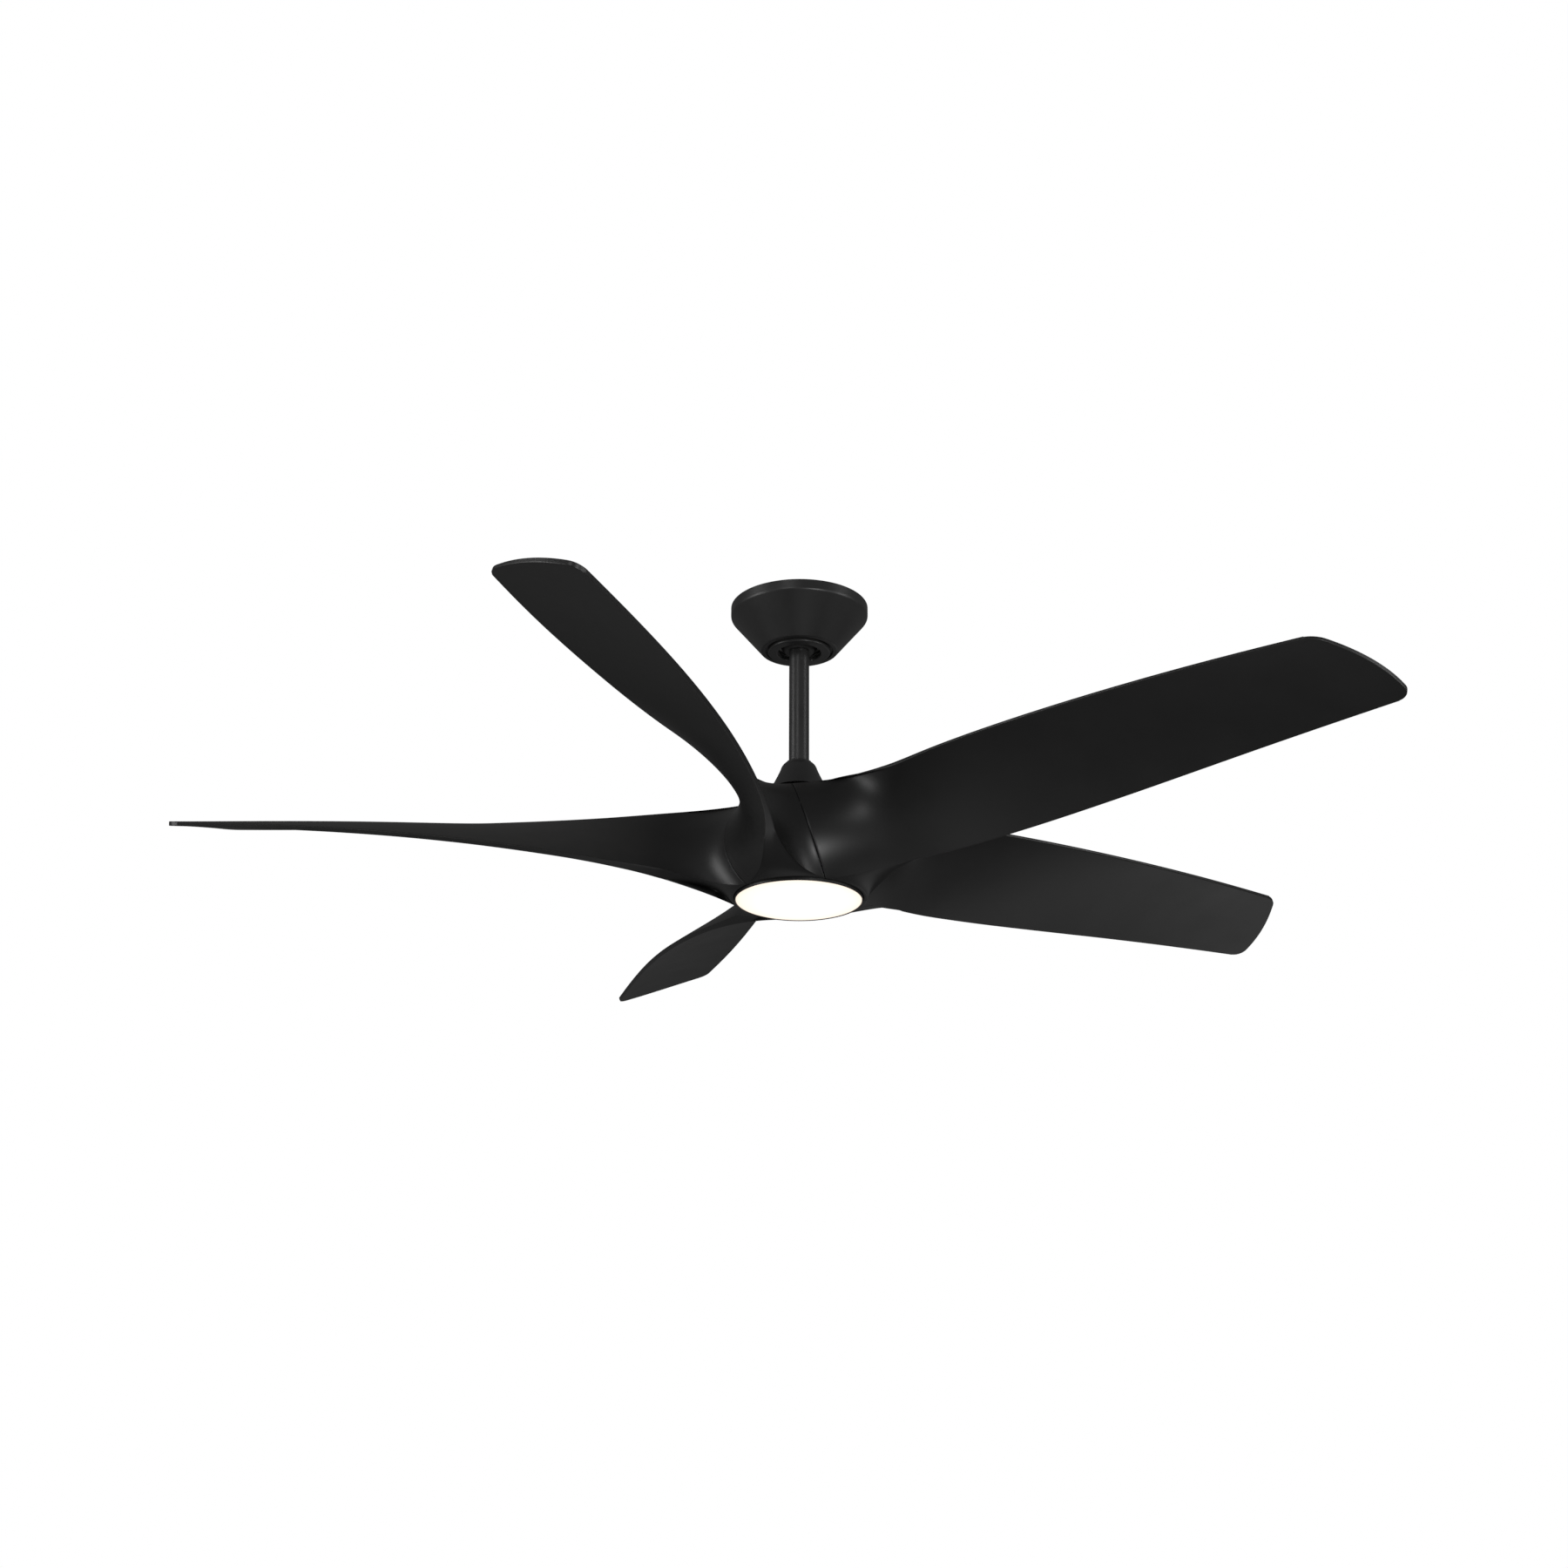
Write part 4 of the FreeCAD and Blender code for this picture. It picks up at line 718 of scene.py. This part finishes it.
def chord_share(side, share):
    """How far forward a loop point is: 0 at the trailing edge and 1 at the leading edge."""
    return {"trailing": 0.0, "under": share, "leading": 1.0, "over": 1.0 - share}[side]


def edge_rounding(thickness):
    """The rounding of the trailing edge's corners, which is smaller where the edge is thin."""
    return min(EDGE_ROUNDING, 0.225 * thickness)


def trailing_profile(share, half):
    """A loop point on the trailing edge: how far in from the edge and how far from mid thickness.
    The two corners are rounded and the face between them is flat."""
    rounding = edge_rounding(2.0 * half)
    corner = 1.0 / 3.0
    if share < corner:
        angle = math.pi / 2 * share / corner
        return rounding * (1 - math.sin(angle)), half - rounding + rounding * math.cos(angle)
    if share > 1.0 - corner:
        inset, across = trailing_profile(1.0 - share, half)
        return inset, -across
    return 0.0, (half - rounding) * (1.0 - 2.0 * (share - corner) / (1.0 - 2.0 * corner))


def section_point(radius, side, share, slimming=0.0):
    """A point of the blade's skin, in millimetres along the blade's own axes. Slimming takes that
    much off either face, to round over the edge of the tip."""
    chord, pitch, sideways, height, camber, back, middle, front = STATION_AT(radius)
    angle = math.radians(pitch)
    forward = np.array((0.0, -math.cos(angle), math.sin(angle)))
    topside = np.array((0.0, math.sin(angle), math.cos(angle)))
    nose = np.array((radius, sideways - chord / 2 * math.cos(angle), LENS_LEVEL + height))
    trailing = nose - forward * chord
    back, middle, front = back - 2 * slimming, middle - 2 * slimming, front - 2 * slimming
    flank = chord - front / 2
    if side == "trailing":
        inset, across = trailing_profile(share, back / 2)
        return trailing + forward * inset + topside * across
    if side == "leading":
        angle_round = math.pi * share
        return (trailing + forward * (flank + front / 2 * math.sin(angle_round))
                - topside * (front / 2 * math.cos(angle_round)))
    inset = edge_rounding(back)
    along = share if side == "under" else 1.0 - share
    along = inset / flank + along * (1.0 - inset / flank)
    depth = (back * (1 - along) * (1 - 2 * along) + middle * 4 * along * (1 - along)
             + front * along * (2 * along - 1))
    face = -1.0 if side == "under" else 1.0
    return (trailing + forward * (flank * along)
            + topside * (4 * camber * along * (1 - along) + face * depth / 2))


def tip_reach(side, share):
    """How far out the tip is at a loop point, with both corners of the outline rounded."""
    along = chord_share(side, share)
    at_back, at_middle, at_front = TIP_REACH
    reach = (at_back * (1 - along) * (1 - 2 * along) + at_middle * 4 * along * (1 - along)
             + at_front * along * (2 * along - 1))
    chord = STATION_AT(at_middle)[0]
    for rounding, distance in zip(TIP_CORNERS, (along * chord, (1 - along) * chord)):
        if distance < rounding:
            reach -= rounding - math.sqrt(rounding ** 2 - (rounding - distance) ** 2)
    return reach


def hub_point(arc_radius, up, across, inset=0.0):
    """A point of the root's share of the hub: up runs from the bottom rim to the top rim, and
    across from the clockwise seam to the other one. Inset draws all four edges inwards."""
    low = math.asin((HUB_BOTTOM + inset - HUB_ARC_LEVEL) / arc_radius)
    high = math.asin((HUB_TOP - inset - HUB_ARC_LEVEL) / arc_radius)
    arc = low + (high - low) * up
    level = HUB_ARC_LEVEL + arc_radius * math.sin(arc)
    radius = HUB_ARC_OFFSET + arc_radius * math.cos(arc)
    tilt = math.radians(SEAM_TILT)
    gap = SEAM_HALF_GAP + inset
    slant = (level - SEAM_PIVOT) * math.sin(tilt)
    reach = radius * math.cos(tilt)
    first = math.radians(SEAM_ANGLE) + math.asin((gap - slant) / reach)
    second = math.radians(SEAM_ANGLE + 360.0 / BLADE_COUNT) + math.asin((-gap - slant) / reach)
    turn = first + (second - first) * across
    return np.array((radius * math.cos(turn), radius * math.sin(turn), level))


def hub_place(side, share):
    """Where a loop point arrives on the edge of the hub: up and across."""
    return {"trailing": (0.0, 1.0 - share), "under": (share, 0.0),
            "leading": (1.0, share), "over": (1.0 - share, 1.0)}[side]


def hub_arrival(up, across, side):
    """The direction in which the skin crosses the edge of the hub there, along its surface. Near
    a corner of the share it turns from one edge's direction to the other's."""
    step = 1e-3
    here = hub_point(HUB_OUTER, up, across)
    along_up = hub_point(HUB_OUTER, min(1.0, up + step), across) \
        - hub_point(HUB_OUTER, max(0.0, up - step), across)
    along_up /= np.linalg.norm(along_up)
    round_axis = np.array((-here[1], here[0], 0.0))
    round_axis /= np.linalg.norm(round_axis)
    sideways = 2.0 * across - 1.0
    if side in ("trailing", "leading"):
        downwards = CORNER_DROP + (1.0 - CORNER_DROP) * (1.0 - sideways ** 2)
        downwards *= 1.0 if side == "trailing" else -1.0
    else:
        downwards = CORNER_DROP * (1.0 - 2.0 * up) ** 5
    arrival = -along_up * downwards + round_axis * sideways
    return arrival / np.linalg.norm(arrival)


def hub_steadying(side, across):
    """How much of the full pull a loop point has where it arrives. The top rim has less, so that
    the leading edge doesn't rise above it."""
    if side == "leading":
        return 1.0 - (1.0 - TOP_RIM_PULL) * (1.0 - (2.0 * across - 1.0) ** 2)
    return 1.0


def blade_skin():
    """Rows of loop points from the hub's edge, along the root and out to the tip."""
    outboard = []
    for step in range(SPAN_STEPS + 1):
        out = step / SPAN_STEPS
        out = out + SPAN_CROWDING * math.sin(math.pi * out) * out
        row = [section_point(ROOT_END + (tip_reach(side, share) - EDGE_ROUNDING - ROOT_END) * out,
                             side, share) for side, share in LAYOUT]
        outboard.append(row)
    for step in range(1, TIP_STEPS + 1):
        angle = math.pi / 2 * step / TIP_STEPS
        short = EDGE_ROUNDING * (1 - math.sin(angle))
        slim = EDGE_ROUNDING * (1 - math.cos(angle))
        outboard.append([section_point(tip_reach(side, share) - short, side, share, slim)
                         for side, share in LAYOUT])
    edges = []
    for index, (side, share) in enumerate(LAYOUT):
        start = outboard[0][index]
        leaving = start - outboard[1][index]
        leaving /= np.linalg.norm(leaving)
        up, across = hub_place(side, share)
        end = hub_point(HUB_OUTER, up, across, SKIN_INSET)
        arriving = hub_arrival(up, across, side)
        reach = np.linalg.norm(end - start)
        steadied = hub_steadying(side, across)
        edges.append((start, leaving * reach * LEAVING_PULL, end,
                      arriving * reach * ARRIVING_PULL * steadied))
    root = []
    for step in range(1, ROOT_STEPS + 1):
        share = step / ROOT_STEPS
        row = []
        for start, leaving, end, arriving in edges:
            point = ((2 * share ** 3 - 3 * share ** 2 + 1) * start
                     + (share ** 3 - 2 * share ** 2 + share) * leaving
                     + (3 * share ** 2 - 2 * share ** 3) * end
                     + (share ** 3 - share ** 2) * arriving)
            row.append(kept_outside(point))
        root.append(row)
    return root[::-1] + outboard


def kept_outside(point):
    """The point, moved out to the hub's surface if it lies inside it."""
    radius = math.hypot(point[0], point[1])
    offset = np.array((radius - HUB_ARC_OFFSET, point[2] - HUB_ARC_LEVEL))
    distance = np.linalg.norm(offset)
    if distance >= HUB_OUTER or radius < 1.0:
        return point
    offset *= HUB_OUTER / distance
    scale = (HUB_ARC_OFFSET + offset[0]) / radius
    return np.array((point[0] * scale, point[1] * scale, HUB_ARC_LEVEL + offset[1]))


def blade_mesh():
    """Points and faces of one blade along +X: the skin, the lip at the seams and rims, the inner
    face of the hub shell, and the face of the tip."""
    around = len(LAYOUT)
    lips = []
    for arc_radius, inset in LIP_ROWS:
        lips.append([hub_point(arc_radius, *hub_place(side, share), inset) for side, share in LAYOUT])
    rows = lips + blade_skin()
    points = [point for row in rows for point in row]
    faces = []
    for row in range(len(rows) - 1):
        for index in range(around):
            after = (index + 1) % around
            faces.append((row * around + index, (row + 1) * around + index,
                          (row + 1) * around + after, row * around + after))
    shares = eased(CHORD_STEPS)
    for row, flip in ((0, True), (len(rows) - 1, False)):
        faces += end_patch(points, row * around, shares, flip)
    return points, faces


def end_patch(points, base, shares, at_hub):
    """Faces that close one end of the skin, with a grid of points between its four sides."""
    def loop_index(chord, thick):
        """The loop's own point at that place of the grid, or None inside it."""
        if chord == 0:
            return base + THICKNESS_STEPS - thick
        if thick == 0:
            return base + THICKNESS_STEPS + chord
        if chord == CHORD_STEPS:
            return base + THICKNESS_STEPS + CHORD_STEPS + thick
        if thick == THICKNESS_STEPS:
            return base + 2 * THICKNESS_STEPS + 2 * CHORD_STEPS - chord
        return None

    grid = {}
    for chord in range(CHORD_STEPS + 1):
        for thick in range(THICKNESS_STEPS + 1):
            index = loop_index(chord, thick)
            if index is not None:
                grid[chord, thick] = index if index < base + len(LAYOUT) else base
    for chord in range(1, CHORD_STEPS):
        for thick in range(1, THICKNESS_STEPS):
            across = thick / THICKNESS_STEPS
            if at_hub:
                place = hub_point(LIP_ROWS[0][0], shares[chord], across, LIP_ROWS[0][1])
            else:
                low, high = points[grid[chord, 0]], points[grid[chord, THICKNESS_STEPS]]
                place = low + (high - low) * across
            grid[chord, thick] = len(points)
            points.append(place)
    faces = []
    for chord in range(CHORD_STEPS):
        for thick in range(THICKNESS_STEPS):
            face = (grid[chord, thick], grid[chord + 1, thick],
                    grid[chord + 1, thick + 1], grid[chord, thick + 1])
            faces.append(face if at_hub else face[::-1])
    return faces


def screw_pad():
    """The pad inside the root that is screwed to the rotor, as points and faces."""
    inner, outer, thickness, half_span, steps = 56.0, 88.0, 5.0, 30.0, 24
    low = top_of("rotor_housing_upper") / MM
    middle = SEAM_ANGLE + 34.0
    return arc_block(inner, outer, low, low + thickness, middle - half_span, middle + half_span,
                     steps)


def sunk(point, depth):
    """A point of the hub's inner face, moved inwards through the wall by a depth."""
    radius = math.hypot(point[0], point[1])
    share = 1.0 - depth / HUB_INNER
    scale = (HUB_ARC_OFFSET + (radius - HUB_ARC_OFFSET) * share) / radius
    return (point[0] * scale, point[1] * scale, HUB_ARC_LEVEL + (point[2] - HUB_ARC_LEVEL) * share)


def seam_tongue():
    """The strip inside one seam that tucks behind the neighbouring moulding, as points and faces."""
    steps, start, end, overlap, shallow, deep = 30, 0.12, 0.985, 0.04, 0.3, 1.8
    points = []
    for step in range(steps + 1):
        up = start + (end - start) * step / steps
        for across, depth in ((1.0 - overlap, shallow), (1.0 - overlap, deep),
                              (1.0 + overlap, deep), (1.0 + overlap, shallow)):
            points.append(sunk(hub_point(HUB_INNER, up, across), depth))
    return points, strip_faces(steps)


def make_blades():
    """Five mouldings from one mesh, each turned to its own place round the hub."""
    points, faces = blade_mesh()
    points, faces = merged([tuple(point) for point in points], faces, (screw_pad(), seam_tongue()))
    for number in range(BLADE_COUNT):
        turn = Matrix.Rotation(math.radians(FIRST_BLADE_ANGLE + 360.0 * number / BLADE_COUNT), 3, "Z")
        placed = [turn @ Vector(point) * MM for point in points]
        new_piece(f"moulded_blade_{number + 1}", placed, faces, FINISHES["blade_plastic"], "rotor",
                  f"blade_{number + 1}")


# ---------------------------------------------------------------- stage, lights and camera

# How bright the surroundings and the floor are for the fan itself, where white is 1.
WORLD_LIGHT, FLOOR_LIGHT = 0.10, 0.15


def mix_by_ray(tree, seen, lit, result_kind):
    """Finish a material or world that the camera sees as one thing and the fan is lit by as
    another."""
    path = put(tree, "ShaderNodeLightPath").outputs["Is Camera Ray"]
    mix = put(tree, "ShaderNodeMixShader", Fac=path)
    tree.links.new(lit.outputs[0], mix.inputs[1])
    tree.links.new(seen.outputs[0], mix.inputs[2])
    result = put(tree, result_kind)
    tree.links.new(mix.outputs[0], result.inputs["Surface"])


def make_floor():
    """A plain pale floor, well below the fan. The camera sees it pale, and on the fan it counts as
    the dim floor of a studio that is lit from the sides."""
    material = bpy.data.materials.new("pale_floor")
    material.use_nodes = True
    tree = material.node_tree
    tree.nodes.clear()
    place = put(tree, "ShaderNodeTexCoord").outputs["Object"]
    cloud = put(tree, "ShaderNodeTexNoise", Vector=place, Scale=0.8, Detail=3.0).outputs["Fac"]
    tone = ramp(tree, cloud, [(0.3, 0.84), (0.7, 0.87)])
    seen = put(tree, "ShaderNodeEmission", Color=tone, Strength=1.0)
    lit = put(tree, "ShaderNodeEmission", Color=tone, Strength=FLOOR_LIGHT)
    mix_by_ray(tree, seen, lit, "ShaderNodeOutputMaterial")
    size, level, sides = 80.0, -2.45, 64
    rim = [(size * math.cos(2 * math.pi * side / sides), size * math.sin(2 * math.pi * side / sides),
            level) for side in range(sides)]
    mesh = bpy.data.meshes.new("floor")
    mesh.from_pydata(rim, [], [tuple(range(sides))])
    mesh.materials.append(material)
    floor = bpy.data.objects.new("floor", mesh)
    bpy.context.scene.collection.objects.link(floor)


def make_world():
    """White round the object as the camera sees it, and a dim even light on the object itself."""
    world = bpy.data.worlds.new("studio")
    bpy.context.scene.world = world
    world.use_nodes = True
    tree = world.node_tree
    tree.nodes.clear()
    seen = put(tree, "ShaderNodeBackground", Color=(1.0, 1.0, 1.0, 1.0), Strength=1.0)
    lit = put(tree, "ShaderNodeBackground", Color=(1.0, 1.0, 1.0, 1.0), Strength=WORLD_LIGHT)
    mix_by_ray(tree, seen, lit, "ShaderNodeOutputWorld")


def make_softbox(name, place, target, width, height, watts):
    """A rectangular soft light aimed at a target."""
    light = bpy.data.lights.new(name, "AREA")
    light.shape = "RECTANGLE"
    light.size, light.size_y = width, height
    light.energy = watts
    holder = bpy.data.objects.new(name, light)
    holder.location = place
    holder.rotation_mode = "QUATERNION"
    holder.rotation_quaternion = (Vector(target) - Vector(place)).to_track_quat("-Z", "Y")
    bpy.context.scene.collection.objects.link(holder)


def make_lights():
    """A tall softbox to either side, two smaller ones in front, a weak one under the fan and a
    weak one low behind it."""
    middle = (0.0, 0.0, -0.3)
    make_softbox("left_softbox", (-2.6, -0.9, -0.1), middle, 0.8, 2.2, 26.0)
    make_softbox("right_softbox", (2.6, -0.9, -0.1), middle, 0.8, 2.2, 18.0)
    make_softbox("front_softbox", (-1.0, -3.0, 0.7), middle, 0.8, 0.8, 10.0)
    make_softbox("front_low_softbox", (1.4, -2.8, -0.78), middle, 0.45, 0.45, 26.0)
    make_softbox("under_softbox", (-0.2, -0.7, -2.3), middle, 1.8, 1.4, 3.0)
    make_softbox("low_back_softbox", (1.6, 2.2, -2.1), middle, 1.6, 1.6, 3.5)


def make_camera():
    """A camera below and in front of the fan, looking up at it, with its optical axis a little to
    the left of the fan."""
    distance, drop = 3.18189, math.radians(18.64)
    tilt, yaw, roll = math.radians(20.603), -0.05519, 0.02158
    lens_level = bottom_of("lens") + LENS_DROP
    place = Vector((0.0, -distance * math.cos(drop), lens_level - distance * math.sin(drop)))
    forward = Vector((math.sin(yaw) * math.cos(tilt), math.cos(yaw) * math.cos(tilt), math.sin(tilt)))
    right = Vector((math.cos(yaw), -math.sin(yaw), 0.0))
    up = right.cross(forward)
    rolled_right = right * math.cos(roll) + up * math.sin(roll)
    rolled_up = up * math.cos(roll) - right * math.sin(roll)
    data = bpy.data.cameras.new("camera")
    data.sensor_width = 36.0
    data.lens = 59.387
    data.shift_x, data.shift_y = 0.0758, 0.01675
    data.clip_start, data.clip_end = 0.05, 100.0
    camera = bpy.data.objects.new("camera", data)
    camera.matrix_world = Matrix((
        (rolled_right.x, rolled_up.x, -forward.x, place.x),
        (rolled_right.y, rolled_up.y, -forward.y, place.y),
        (rolled_right.z, rolled_up.z, -forward.z, place.z),
        (0.0, 0.0, 0.0, 1.0)))
    bpy.context.scene.collection.objects.link(camera)
    bpy.context.scene.camera = camera


dress_frame()
make_canopy()
make_canopy_ring()
make_downrod()
make_coupling_cover()
make_lens_ring()
make_lens()
make_blades()
make_floor()
make_world()
make_lights()
make_camera()
bpy.context.scene.view_settings.view_transform = "Standard"
